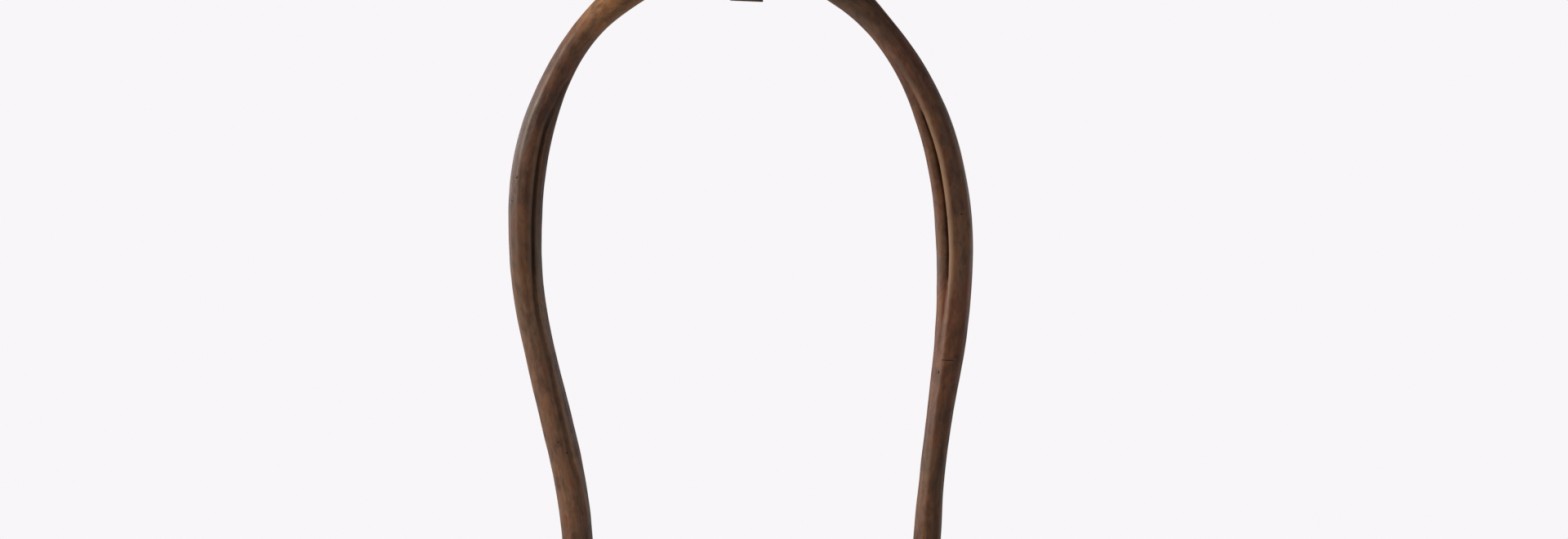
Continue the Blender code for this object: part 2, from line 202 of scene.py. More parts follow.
def skin(rows, closed=False):
    # a surface through rows of points round a piece, its ends closed by fans unless the rows meet
    shape = bmesh.new()
    grid = [[shape.verts.new(point) for point in row] for row in rows]
    around = len(rows[0])
    for low, high in zip(grid, grid[1:] + (grid[:1] if closed else [])):
        for i in range(around):
            shape.faces.new((low[i], low[(i + 1) % around], high[(i + 1) % around], high[i]))
    if not closed:
        for row in (grid[0], grid[-1]):
            middle = shape.verts.new(sum((vertex.co for vertex in row), Vector()) / around)
            for i in range(around):
                shape.faces.new((row[i], row[(i + 1) % around], middle))
    return fromShape(shape)


def turned(profile, sides, place):
    # a profile of (radius, height) spun round Z and set in place, its ends closed on the axis
    turns = [2 * math.pi * i / sides for i in range(sides)]
    return skin([[place @ Vector((radius * math.cos(turn), radius * math.sin(turn), height)) for turn in turns]
                 for radius, height in profile])


def combined(mesh, operation, cutters):
    # a mesh cut by, or joined with, several others at once
    collection = bpy.data.collections.new("cutters")
    target = bpy.data.objects.new("target", mesh)
    bpy.context.scene.collection.objects.link(target)
    for cutter in cutters:
        collection.objects.link(bpy.data.objects.new("cutter", cutter))
    modifier = target.modifiers.new("Boolean", "BOOLEAN")
    modifier.operation = operation
    modifier.operand_type = "COLLECTION"
    modifier.collection = collection
    modifier.solver = "EXACT"
    bpy.context.view_layer.update()
    result = bpy.data.meshes.new_from_object(target.evaluated_get(bpy.context.evaluated_depsgraph_get()))
    for obj in [target, *collection.objects]:
        bpy.data.objects.remove(obj, do_unlink=True)
    bpy.data.collections.remove(collection)
    return result


def forged(mesh, cell, passes, blow, spread, seed):
    # evens the surface out, rounds the edges over and leaves shallow hammer marks
    source = bpy.data.objects.new("source", mesh)
    bpy.context.scene.collection.objects.link(source)
    remesh = source.modifiers.new("Remesh", "REMESH")
    remesh.mode = "VOXEL"
    remesh.voxel_size = cell
    smooth = source.modifiers.new("Smooth", "SMOOTH")
    smooth.factor = 0.5
    smooth.iterations = passes
    bpy.context.view_layer.update()
    result = bpy.data.meshes.new_from_object(source.evaluated_get(bpy.context.evaluated_depsgraph_get()))
    bpy.data.objects.remove(source, do_unlink=True)
    normals = [vertex.normal.copy() for vertex in result.vertices]
    for vertex, normal in zip(result.vertices, normals):
        mark = 0.5 + 0.5 * wave(vertex.co, spread, seed) + 0.25 * wave(vertex.co, spread * 4, seed + 3)
        vertex.co -= normal * blow * max(mark, 0)
    markEdges(result)
    return result


def markEdges(mesh):
    # how sharply each point stands out, one over mm, for worn edges and darker hollows
    total, count = [0.0] * len(mesh.vertices), [0] * len(mesh.vertices)
    for edge in mesh.edges:
        low, high = (mesh.vertices[i] for i in edge.vertices)
        away = low.co - high.co
        away *= mm / max(away.length_squared, 1e-12)
        total[low.index] += low.normal.dot(away)
        total[high.index] -= high.normal.dot(away)
        count[low.index] += 1
        count[high.index] += 1
    value = [a / max(b, 1) for a, b in zip(total, count)]
    for _ in range(2):
        total, count = [2 * a for a in value], [2] * len(value)
        for edge in mesh.edges:
            low, high = edge.vertices
            total[low] += value[high]
            total[high] += value[low]
            count[low] += 1
            count[high] += 1
        value = [a / b for a, b in zip(total, count)]
    keep(mesh, "edge", value)


# Camera, light and floor

studio = {
    "lookAt": Vector((0.0331, 0.0, -0.3314)),
    "distance": 3.2,
    "frameWidth": 1.3824,             # seen at the bow, side to side
    "backdrop": "#f8f6f8",
    "floorZ": -0.80,
    "floorRadius": 2.2,
    "floorFade": 0.8,                 # the floor thins out to the backdrop from here outwards
    "floor": "#efeeee",
    "ambient": ("#f3ece4", 0.24),     # light from all round
    # name, place, size in metres, power in watts and colour
    "lamps": [
        ("keyLight", (-2.7, -0.9, 0.8), 1.4, 90, "#fff3e4"),
        ("rimLight", (-2.2, 1.3, 0.2), 1.4, 21, "#f4f2f4"),
        ("fillLight", (2.0, -2.4, -0.1), 1.8, 8, "#fff4e8"),
        ("backLight", (2.4, 1.5, 0.1), 1.6, 9, "#f4f4fa"),
    ],
}


def makeStudio():
    scene = bpy.context.scene
    scene.view_settings.view_transform = "Standard"
    camera = bpy.data.objects.new("camera", bpy.data.cameras.new("camera"))
    camera.data.lens = camera.data.sensor_width * studio["distance"] / studio["frameWidth"]
    camera.location = studio["lookAt"] - Vector((0, studio["distance"], 0))
    camera.rotation_euler = (math.pi / 2, 0, 0)
    scene.collection.objects.link(camera)
    scene.camera = camera

    world = bpy.data.worlds.new("backdrop")
    scene.world = world
    world.use_nodes = True
    tree = world.node_tree
    tree.nodes.clear()
    seen = addNode(tree, "ShaderNodeBackground", {"Color": linear(studio["backdrop"]), "Strength": 1.0})
    colour, strength = studio["ambient"]
    lit = addNode(tree, "ShaderNodeBackground", {"Color": linear(colour), "Strength": strength})
    path = addNode(tree, "ShaderNodeLightPath")
    mixed = addNode(tree, "ShaderNodeMixShader", {}, {
        0: path.outputs["Is Camera Ray"], 1: lit.outputs[0], 2: seen.outputs[0]})
    addNode(tree, "ShaderNodeOutputWorld", {}, {"Surface": mixed.outputs[0]})

    for name, place, size, power, colour in studio["lamps"]:
        lamp = bpy.data.objects.new(name, bpy.data.lights.new(name, "AREA"))
        lamp.data.shape = "DISK"
        lamp.data.size = size
        lamp.data.energy = power
        lamp.data.color = linear(colour)[:3]
        lamp.location = place
        lamp.rotation_euler = (studio["lookAt"] - Vector(place)).to_track_quat("-Z", "Y").to_euler()
        lamp.visible_camera = False
        scene.collection.objects.link(lamp)

    shape = bmesh.new()
    bmesh.ops.create_circle(shape, cap_ends=True, segments=96, radius=studio["floorRadius"],
                            matrix=Matrix.Translation((0, 0, studio["floorZ"])))
    mesh = bpy.data.meshes.new("floor")
    shape.to_mesh(mesh)
    shape.free()
    floor = bpy.data.objects.new("floor", mesh)
    material, tree, shader = startMaterial("pale painted floor", {
        "Base Color": linear(studio["floor"]), "Roughness": 0.8})
    place = addNode(tree, "ShaderNodeTexCoord").outputs["Object"]
    flat = addNode(tree, "ShaderNodeVectorMath", {"operation": "MULTIPLY", 1: (1, 1, 0)}, {0: place})
    away = addNode(tree, "ShaderNodeVectorMath", {"operation": "LENGTH"}, {0: flat.outputs[0]})
    solid = addNode(tree, "ShaderNodeMapRange", {
        "interpolation_type": "SMOOTHERSTEP", "From Min": studio["floorFade"], "From Max": studio["floorRadius"],
        "To Min": 1.0, "To Max": 0.0}, {"Value": away.outputs["Value"]})
    tree.links.new(solid.outputs[0], shader.inputs["Alpha"])
    mesh.materials.append(material)
    scene.collection.objects.link(floor)


# Bow: steam-bent hickory, its bark side rolled over into a long crease on the inside

bow = {
    # x, z and half-width of the stock in metres, from the left leg's end over the crown to the right's
    "path": [
        (-0.148, -0.735, 0.0128), (-0.148, -0.685, 0.0132), (-0.148, -0.635, 0.0134),
        (-0.148, -0.592, 0.0134), (-0.150, -0.556, 0.0135), (-0.157, -0.510, 0.0139),
        (-0.170, -0.454, 0.0139), (-0.183, -0.400, 0.0133), (-0.192, -0.351, 0.0138),
        (-0.195, -0.300, 0.0146), (-0.193, -0.252, 0.0153), (-0.184, -0.207, 0.0143),
        (-0.166, -0.160, 0.0122), (-0.140, -0.119, 0.0117), (-0.106, -0.088, 0.0137),
        (-0.063, -0.064, 0.0146), (-0.011, -0.055, 0.0144), (0.041, -0.063, 0.0144),
        (0.086, -0.087, 0.0140), (0.119, -0.119, 0.0119), (0.147, -0.160, 0.0130),
        (0.167, -0.207, 0.0151), (0.178, -0.252, 0.0160), (0.183, -0.300, 0.0164),
        (0.183, -0.351, 0.0153), (0.179, -0.400, 0.0137), (0.171, -0.454, 0.0115),
        (0.164, -0.510, 0.0110), (0.160, -0.556, 0.0119), (0.158, -0.592, 0.0122),
        (0.158, -0.635, 0.0122), (0.158, -0.685, 0.0121), (0.158, -0.735, 0.0118),
    ],
    "depth": 0.0140,                  # half of the stock, front to back
    "stations": 760,
    "sides": 96,
    # the creases by height: angle from the inside towards the front in degrees, then in mm the cut's depth and
    # half-width, the valley either side, the ridge left on the inner strip and the lip on the front
    "creases": {
        "leftInner": [
            (-0.560, 46, 0.0, 1.6, 0.0, 0.0, 0.0), (-0.526, 54, 0.5, 1.4, 0.2, 0.6, 0.1),
            (-0.497, 64, 0.7, 1.4, 0.3, 0.9, 0.2), (-0.454, 63, 0.7, 1.4, 0.3, 0.9, 0.2),
            (-0.411, 58, 0.8, 1.4, 0.3, 0.8, 0.2), (-0.375, 63, 1.1, 1.5, 0.5, 0.8, 0.3),
            (-0.310, 56, 2.8, 1.4, 0.9, 0.6, 0.5), (-0.252, 54, 3.2, 1.5, 0.9, 0.5, 0.5),
            (-0.209, 56, 2.5, 1.4, 0.7, 0.5, 0.4), (-0.172, 38, 1.1, 1.5, 0.4, 0.3, 0.2),
            (-0.150, 24, 0.0, 1.6, 0.0, 0.0, 0.0),
        ],
        "rightInner": [
            (-0.424, 40, 0.0, 1.6, 0.0, 0.0, 0.0), (-0.408, 45, 0.4, 1.7, 0.4, 0.0, 0.0),
            (-0.385, 50, 0.5, 1.7, 0.8, 0.0, 0.1), (-0.365, 54, 0.7, 1.5, 1.4, 0.0, 0.2),
            (-0.346, 57, 1.1, 1.3, 2.2, 0.0, 0.3), (-0.334, 58, 3.0, 1.0, 2.7, 0.0, 0.4),
            (-0.310, 59, 5.0, 1.1, 3.1, 0.0, 0.4),
            (-0.238, 57, 5.0, 1.1, 3.3, 0.0, 0.3), (-0.196, 53, 4.2, 1.0, 2.8, 0.0, 0.2),
            (-0.186, 52, 1.2, 1.0, 1.9, 0.0, 0.2), (-0.148, 44, 0.5, 1.5, 0.7, 0.0, 0.0),
            (-0.118, 36, 0.0, 1.6, 0.0, 0.0, 0.0),
        ],
        "rightShoulder": [
            (-0.132, 146, 0.0, 1.0, 0.0, 0.0, 0.0), (-0.116, 142, 1.5, 1.0, 0.4, 0.5, 0.2),
            (-0.092, 140, 2.0, 1.0, 0.5, 0.6, 0.3), (-0.074, 142, 1.2, 1.1, 0.3, 0.3, 0.1),
            (-0.062, 150, 0.0, 1.0, 0.0, 0.0, 0.0),
        ],
    },
    # painted shade darkening the inside here, away from the light: share of the length, spread and strength
    "insideShade": (0.43, 0.022, 0.58),
    # old worm holes: share of the length, angle from the inside in degrees
    "wormHoles": [(0.462, 72), (0.536, 100), (0.30, 140), (0.312, 128), (0.71, 118), (0.155, 75), (0.163, 96),
                  (0.80, 60), (0.88, 210), (0.41, 230), (0.60, 260), (0.24, 250)],
    "wormRadius": 0.75 * mm,
    "scoreHeight": -0.4113,           # an old knife mark across the right leg
    "scoreBlade": (20 * mm, 4 * mm, 0.9 * mm),
    "pinHole": 6.2 * mm,
    "swell": 0.30 * mm,               # how uneven the stock is over a few centimetres
    "dents": 0.14 * mm,
    "facets": (11, 0.10 * mm),        # spokeshave flats round the stock, and how deep they are
    "endRound": 4 * mm,
}


def sweepTree():
    # a round section swept along a flat chain of points, with its place on the stock kept as attributes
    tree, given = startTree("stockAlongPath", [
        ("Stations", "NodeSocketInt"), ("Sides", "NodeSocketInt"), ("Depth", "NodeSocketFloat"),
        ("Material", "NodeSocketMaterial")])
    chain = addNode(tree, "GeometryNodeMeshToCurve", {}, {"Mesh": given["Geometry"]})
    smooth = addNode(tree, "GeometryNodeCurveSplineType", {"spline_type": "CATMULL_ROM"},
                     {"Curve": chain.outputs[0]})
    dense = addNode(tree, "GeometryNodeResampleCurve", {}, {
        "Curve": smooth.outputs[0], "Count": given["Stations"]})
    along = addNode(tree, "GeometryNodeSplineParameter")
    tangent = addNode(tree, "GeometryNodeInputTangent")
    inward = addNode(tree, "ShaderNodeVectorMath", {"operation": "CROSS_PRODUCT", 1: (0, 0, 1)},
                     {0: tangent.outputs[0]})
    place = addNode(tree, "GeometryNodeInputPosition")
    marked = dense
    for label, kind, source in (("length", "FLOAT", along.outputs["Length"]),
                                ("inward", "FLOAT_VECTOR", inward.outputs[0]),
                                ("centre", "FLOAT_VECTOR", place.outputs[0])):
        marked = addNode(tree, "GeometryNodeStoreNamedAttribute", {
            "data_type": kind, "domain": "POINT", "Name": label},
            {"Geometry": marked.outputs[0], "Value": source})
    circle = addNode(tree, "GeometryNodeCurvePrimitiveCircle", {"Radius": 1.0}, {"Resolution": given["Sides"]})
    turn = addNode(tree, "GeometryNodeSplineParameter")
    profile = addNode(tree, "GeometryNodeStoreNamedAttribute", {
        "data_type": "FLOAT", "domain": "POINT", "Name": "around"},
        {"Geometry": circle.outputs[0], "Value": turn.outputs["Factor"]})
    swept = addNode(tree, "GeometryNodeCurveToMesh", {"Fill Caps": True}, {
        "Curve": marked.outputs[0], "Profile Curve": profile.outputs[0]})
    around = addNode(tree, "GeometryNodeInputNamedAttribute", {"data_type": "FLOAT", "Name": "around"})
    halfWidth = addNode(tree, "GeometryNodeInputNamedAttribute", {"data_type": "FLOAT", "Name": "halfWidth"})
    centre = addNode(tree, "GeometryNodeInputNamedAttribute", {"data_type": "FLOAT_VECTOR", "Name": "centre"})
    toInside = addNode(tree, "GeometryNodeInputNamedAttribute", {"data_type": "FLOAT_VECTOR", "Name": "inward"})
    angle = addNode(tree, "ShaderNodeMath", {"operation": "MULTIPLY", 1: 2 * math.pi}, {0: around.outputs[0]})
    cosine = addNode(tree, "ShaderNodeMath", {"operation": "COSINE"}, {0: angle.outputs[0]})
    sine = addNode(tree, "ShaderNodeMath", {"operation": "SINE"}, {0: angle.outputs[0]})
    reach = addNode(tree, "ShaderNodeMath", {"operation": "MULTIPLY"},
                    {0: cosine.outputs[0], 1: halfWidth.outputs[0]})
    rise = addNode(tree, "ShaderNodeMath", {"operation": "MULTIPLY"}, {0: sine.outputs[0], 1: given["Depth"]})
    sideways = addNode(tree, "ShaderNodeVectorMath", {"operation": "SCALE"},
                       {0: toInside.outputs[0], "Scale": reach.outputs[0]})
    forwards = addNode(tree, "ShaderNodeCombineXYZ", {}, {"Z": rise.outputs[0]})
    offset = addNode(tree, "ShaderNodeVectorMath", {"operation": "ADD"},
                     {0: sideways.outputs[0], 1: forwards.outputs[0]})
    point = addNode(tree, "ShaderNodeVectorMath", {"operation": "ADD"},
                    {0: centre.outputs[0], 1: offset.outputs[0]})
    shaped = addNode(tree, "GeometryNodeSetPosition", {}, {
        "Geometry": swept.outputs[0], "Position": point.outputs[0]})
    stood = addNode(tree, "GeometryNodeTransform", {"Rotation": (math.pi / 2, 0, 0)},
                    {"Geometry": shaped.outputs[0]})
    real = addNode(tree, "GeometryNodeRealizeInstances", {}, {"Geometry": stood.outputs[0]})
    coated = addNode(tree, "GeometryNodeSetMaterial", {}, {
        "Geometry": real.outputs[0], "Material": given["Material"]})
    addNode(tree, "NodeGroupOutput", {}, {"Geometry": coated.outputs[0]})
    return tree


def chainMesh(points):
    mesh = bpy.data.meshes.new("chain")
    mesh.from_pydata([(x, z, 0) for x, z, _ in points], [(i, i + 1) for i in range(len(points) - 1)], [])
    keep(mesh, "halfWidth", [width for _, _, width in points])
    return mesh


def creaseAt(angle, height, radius, table):
    # how far the surface sinks at this angle, and the painted light it gets: painted shade in the crease (above
    # 0) and painted highlight on the ridge and lips beside it (below)
    line, depth, width, valley, ridge, lip = readTable(table, height)
    away = (angle - math.radians(line)) * radius / mm
    if depth <= 0 or abs(away) > 14:
        return 0.0, 0.0

    def hump(centre, spread):
        return math.exp(-((away - centre) / spread) ** 2)

    cut = hump(0, width)
    sink = depth * cut + valley * hump(-0.6, 3.9) - ridge * hump(-2.2 * width, width)
    sink -= lip * hump(2.4 * width, 1.3 * width)
    # painted highlight on the inner strip's ridge, the front lip and the band in front of it, where the light
    # catches them
    rubbed = ridge * hump(-1.9 * width, 0.7 * width) + 0.4 * lip * hump(2.2 * width, width)
    rubbed += 0.32 * valley * hump(4.0, 2.5)
    return sink * mm, cut * min(depth / 2.6, 1) - min(rubbed, 1)


def carveBow(mesh):
    # presses the creases, knife facets and wear into the swept stock, and keeps the creases' painted shade and
    # highlight, with the painted shade on the arch's inside, for the material
    count = len(mesh.vertices)
    around, length = [0.0] * count, [0.0] * count
    mesh.attributes["around"].data.foreach_get("value", around)
    mesh.attributes["length"].data.foreach_get("value", length)
    total = max(length)
    straight, dirt, share = [], [0.0] * count, [0.0] * count
    centres, inwards = mesh.attributes["centre"].data, mesh.attributes["inward"].data
    for i, vertex in enumerate(mesh.vertices):
        angle = (around[i] * 2 * math.pi + math.pi / 2) % (2 * math.pi) - math.pi / 2
        x, height = centres[i].vector[0], centres[i].vector[1]
        inward = Vector((inwards[i].vector[0], 0, inwards[i].vector[1]))
        centre = Vector((x, 0, height))
        spoke = vertex.co - centre
        radius = spoke.length
        sink, paintedLight = 0.0, 0.0
        for name in ["leftInner"] if length[i] < total / 2 else ["rightInner", "rightShoulder"]:
            more, shadeAndShine = creaseAt(angle, height, radius, bow["creases"][name])
            sink += more
            paintedLight = shadeAndShine if abs(shadeAndShine) > abs(paintedLight) else paintedLight
        # painted shade on the inside of the upper-left arch, which faces away from the key light
        middle, spread, strength = bow["insideShade"]
        inside = min(max((math.cos(angle) + 0.1) / 0.6, 0), 1)
        here = math.exp(-((length[i] / total - middle) / spread) ** 2)
        paintedLight += strength * inside ** 2 * (3 - 2 * inside) * here
        across, forth = math.cos(angle), math.sin(angle)
        sink += bow["swell"] * wave((across * 0.02, forth * 0.02, length[i]), 34, 3.1)
        sink += bow["dents"] * wave((across * 0.014, forth * 0.014, length[i] * 0.35), 210, 7.7)
        facets, facetDepth = bow["facets"]
        sink += facetDepth * math.cos(facets * angle + 5 * wave((0, 0, length[i]), 9, 5.0))
        toEnd = min(length[i], total - length[i])
        shrink = 1 - 0.18 * max(0.0, 1 - toEnd / bow["endRound"]) ** 2
        vertex.co = centre + spoke * ((radius - sink) / radius * shrink)
        straight.append((spoke.dot(inward), spoke.y, length[i]))
        dirt[i] = paintedLight
        share[i] = length[i] / total
    for name in ("around", "length", "centre", "inward", "halfWidth"):
        mesh.attributes.remove(mesh.attributes[name])
    keep(mesh, "straight", straight)
    keep(mesh, "dirt", dirt)
    keep(mesh, "share", share)


# Steam-bent hickory: long close grain and short pores, rubbed smooth and dark by handling, with painted shade and
# painted highlights on the creases and the upper-left arch
bowFinish = {
    "alongTones": [                   # from the left leg's end over the crown to the right leg's end
        (0.00, "#583f2d"), (0.11, "#6e503d"), (0.13, "#6d513f"), (0.168, "#604837"),
        (0.20, "#6a4e3b"), (0.232, "#6a523f"), (0.25, "#614830"), (0.275, "#543b26"),
        (0.297, "#4a2e1b"), (0.326, "#482b18"), (0.36, "#4e2e20"), (0.382, "#63422e"),
        # the pale orange tones from 0.408 to 0.455 are painted highlight where the key light falls on the
        # upper-left arch, over the wood's own tone
        (0.397, "#73533e"), (0.408, "#936f52"), (0.424, "#cc9867"), (0.455, "#b27c54"),
        (0.50, "#6c4c35"), (0.575, "#4a382a"), (0.597, "#583f32"), (0.62, "#5f3d2f"),
        (0.66, "#593c29"), (0.69, "#6a452c"), (0.705, "#724e36"), (0.738, "#735540"),
        (0.757, "#784a34"), (0.785, "#683e26"), (0.812, "#72472f"), (0.835, "#5a3b29"),
        (0.854, "#5a432e"), (0.87, "#704c31"), (1.00, "#573c2a"),
    ],
    "patches": [(0.30, "#33261b"), (0.42, "#523a29"), (0.50, "#633d2a"), (0.58, "#7a5233"), (0.70, "#4f3722")],
}


def bentHickory():
    material, tree, shader = startMaterial("steam-bent hickory, hand-rubbed", {
        "IOR": 1.5, "Specular IOR Level": 0.38, "Coat Weight": 0.10, "Coat Roughness": 0.30, "Coat IOR": 1.45})
    straight = addNode(tree, "ShaderNodeAttribute", {"attribute_name": "straight"}).outputs["Vector"]
    share = addNode(tree, "ShaderNodeAttribute", {"attribute_name": "share"}).outputs["Fac"]
    dirt = addNode(tree, "ShaderNodeAttribute", {"attribute_name": "dirt"}).outputs["Fac"]

    wide = addNode(tree, "ShaderNodeMapping", {"Scale": (52, 52, 24)}, {"Vector": straight})
    blotch = addNode(tree, "ShaderNodeTexNoise", {"Scale": 1.0, "Detail": 4.0, "Roughness": 0.6},
                     {"Vector": wide.outputs[0]})
    patches = addNode(tree, "ShaderNodeValToRGB", {"stops": bowFinish["patches"]}, {"Fac": blotch.outputs[0]})
    tones = addNode(tree, "ShaderNodeValToRGB", {"stops": bowFinish["alongTones"]}, {"Fac": share})
    base = addNode(tree, "ShaderNodeMix", {"data_type": "RGBA", "blend_type": "MIX", "Factor": 0.34},
                   {6: tones.outputs[0], 7: patches.outputs[0]})

    # handling has left dark and warm spots 5 to 10 mm long
    near = addNode(tree, "ShaderNodeMapping", {"Scale": (120, 120, 62), "Location": (3, 1, 7)},
                   {"Vector": straight})
    spots = addNode(tree, "ShaderNodeTexNoise", {
        "Scale": 1.0, "Detail": 3.0, "Roughness": 0.6, "Distortion": 0.4}, {"Vector": near.outputs[0]})
    spotTone = addNode(tree, "ShaderNodeValToRGB", {"stops": [
        (0.30, "#a39384"), (0.44, "#d8cabc"), (0.54, "#ffffff"), (0.66, "#ffdcb8"), (0.76, "#d0b59c")]},
        {"Fac": spots.outputs[0]})
    spotted = addNode(tree, "ShaderNodeMix", {"data_type": "RGBA", "blend_type": "MULTIPLY", "Factor": 0.8},
                      {6: base.outputs[2], 7: spotTone.outputs[0]})

    # grain lines about 1.2 mm apart and 60 mm long
    long = addNode(tree, "ShaderNodeMapping", {"Scale": (820, 820, 16)}, {"Vector": straight})
    lines = addNode(tree, "ShaderNodeTexNoise", {"Scale": 1.0, "Detail": 4.0, "Roughness": 0.6},
                    {"Vector": long.outputs[0]})
    lineTone = addNode(tree, "ShaderNodeValToRGB", {"stops": [
        (0.30, "#b9b2ab"), (0.50, "#ffffff"), (0.72, "#c9bfb4")]}, {"Fac": lines.outputs[0]})
    grained = addNode(tree, "ShaderNodeMix", {"data_type": "RGBA", "blend_type": "MULTIPLY", "Factor": 0.75},
                      {6: spotted.outputs[2], 7: lineTone.outputs[0]})

    # open pores about half a millimetre wide and 8 mm long
    dash = addNode(tree, "ShaderNodeMapping", {"Scale": (2100, 2100, 120)}, {"Vector": straight})
    pores = addNode(tree, "ShaderNodeTexNoise", {"Scale": 1.0, "Detail": 2.0, "Roughness": 0.5},
                    {"Vector": dash.outputs[0]})
    poreMask = addNode(tree, "ShaderNodeMapRange", {
        "From Min": 0.60, "From Max": 0.70, "To Min": 0.0, "To Max": 0.55}, {"Value": pores.outputs[0]})
    pored = addNode(tree, "ShaderNodeMix", {"data_type": "RGBA", "blend_type": "MIX", 7: linear("#1f140e")},
                    {"Factor": poreMask.outputs[0], 6: grained.outputs[2]})

    # painted shade darkens the creases and the inside of the upper-left arch, and painted highlight lightens the
    # ridges and lips beside the creases
    shadeMask = addNode(tree, "ShaderNodeMapRange", {
        "From Min": 0.22, "From Max": 0.9, "To Min": 0.0, "To Max": 0.92}, {"Value": dirt})
    highlightMask = addNode(tree, "ShaderNodeMapRange", {
        "From Min": -0.1, "From Max": -0.9, "To Min": 0.0, "To Max": 0.42}, {"Value": dirt})
    # the pale colour is painted highlight on the crease ridges and lips
    rubbed = addNode(tree, "ShaderNodeMix", {"data_type": "RGBA", "blend_type": "MIX", 7: linear("#a08468")},
                     {"Factor": highlightMask.outputs[0], 6: pored.outputs[2]})
    # the near-black colour is painted shade in the creases and on the inside of the upper-left arch
    paintedLight = addNode(tree, "ShaderNodeMix", {"data_type": "RGBA", "blend_type": "MIX", 7: linear("#170d09")},
                    {"Factor": shadeMask.outputs[0], 6: rubbed.outputs[2]})
    tree.links.new(paintedLight.outputs[2], shader.inputs["Base Color"])

    sheen = addNode(tree, "ShaderNodeMapRange", {
        "From Min": 0.3, "From Max": 0.7, "To Min": 0.40, "To Max": 0.58}, {"Value": blotch.outputs[0]})
    tree.links.new(sheen.outputs[0], shader.inputs["Roughness"])
    fine = addNode(tree, "ShaderNodeBump", {"Strength": 0.5, "Distance": 0.00025}, {"Height": lines.outputs[0]})
    deep = addNode(tree, "ShaderNodeBump", {"Strength": 0.6, "Distance": 0.0003, "invert": True},
                   {"Height": poreMask.outputs[0], "Normal": fine.outputs[0]})
    tree.links.new(deep.outputs[0], shader.inputs["Normal"])
    return material


def wormCutters(mesh):
    # short rods that leave worm holes, aimed at the middle of the stock
    share = [0.0] * len(mesh.vertices)
    straight = [0.0] * (3 * len(mesh.vertices))
    mesh.attributes["share"].data.foreach_get("value", share)
    mesh.attributes["straight"].data.foreach_get("vector", straight)
    cutters = []
    for at, degrees in bow["wormHoles"]:
        aim = Vector((math.cos(math.radians(degrees)), math.sin(math.radians(degrees))))
        near = [i for i, value in enumerate(share) if abs(value - at) < 0.001]
        best = max(near, key=lambda i: Vector((straight[3 * i], -straight[3 * i + 1])).normalized().dot(aim))
        vertex = mesh.vertices[best]
        cutters.append(rod(vertex.co + vertex.normal * mm, vertex.co - vertex.normal * 3.5 * mm,
                           bow["wormRadius"], 14))
    return cutters


def makeBow():
    material = bentHickory()
    mesh = runTree(sweepTree(), chainMesh(bow["path"]), {
        "Stations": bow["stations"], "Sides": bow["sides"], "Depth": bow["depth"], "Material": material})
    carveBow(mesh)
    holes = []
    for side in ("left", "right"):
        low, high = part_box("bow_pin_" + side)
        x, z = (low.x + high.x) / 2, (low.z + high.z) / 2
        holes.append(rod((x, -0.03, z), (x, 0.03, z), bow["pinHole"], 48))
    holes += wormCutters(mesh)
    x = readTable(sorted((z, x) for x, z, _ in bow["path"] if x > 0.05), bow["scoreHeight"])[0]
    score = slab(bow["scoreBlade"], (0, 0, 0))
    score.transform(Matrix.Translation((x + mm, -bow["depth"] - 0.4 * mm, bow["scoreHeight"]))
                    @ Matrix.Rotation(0.03, 4, "Y"))
    mesh = combined(mesh, "DIFFERENCE", holes + [score])
    piece = makePiece("bentBow", mesh, material, "bow", "bow_wood", "ox_bow")
    print("bow:", len(mesh.polygons), "faces")
    return piece


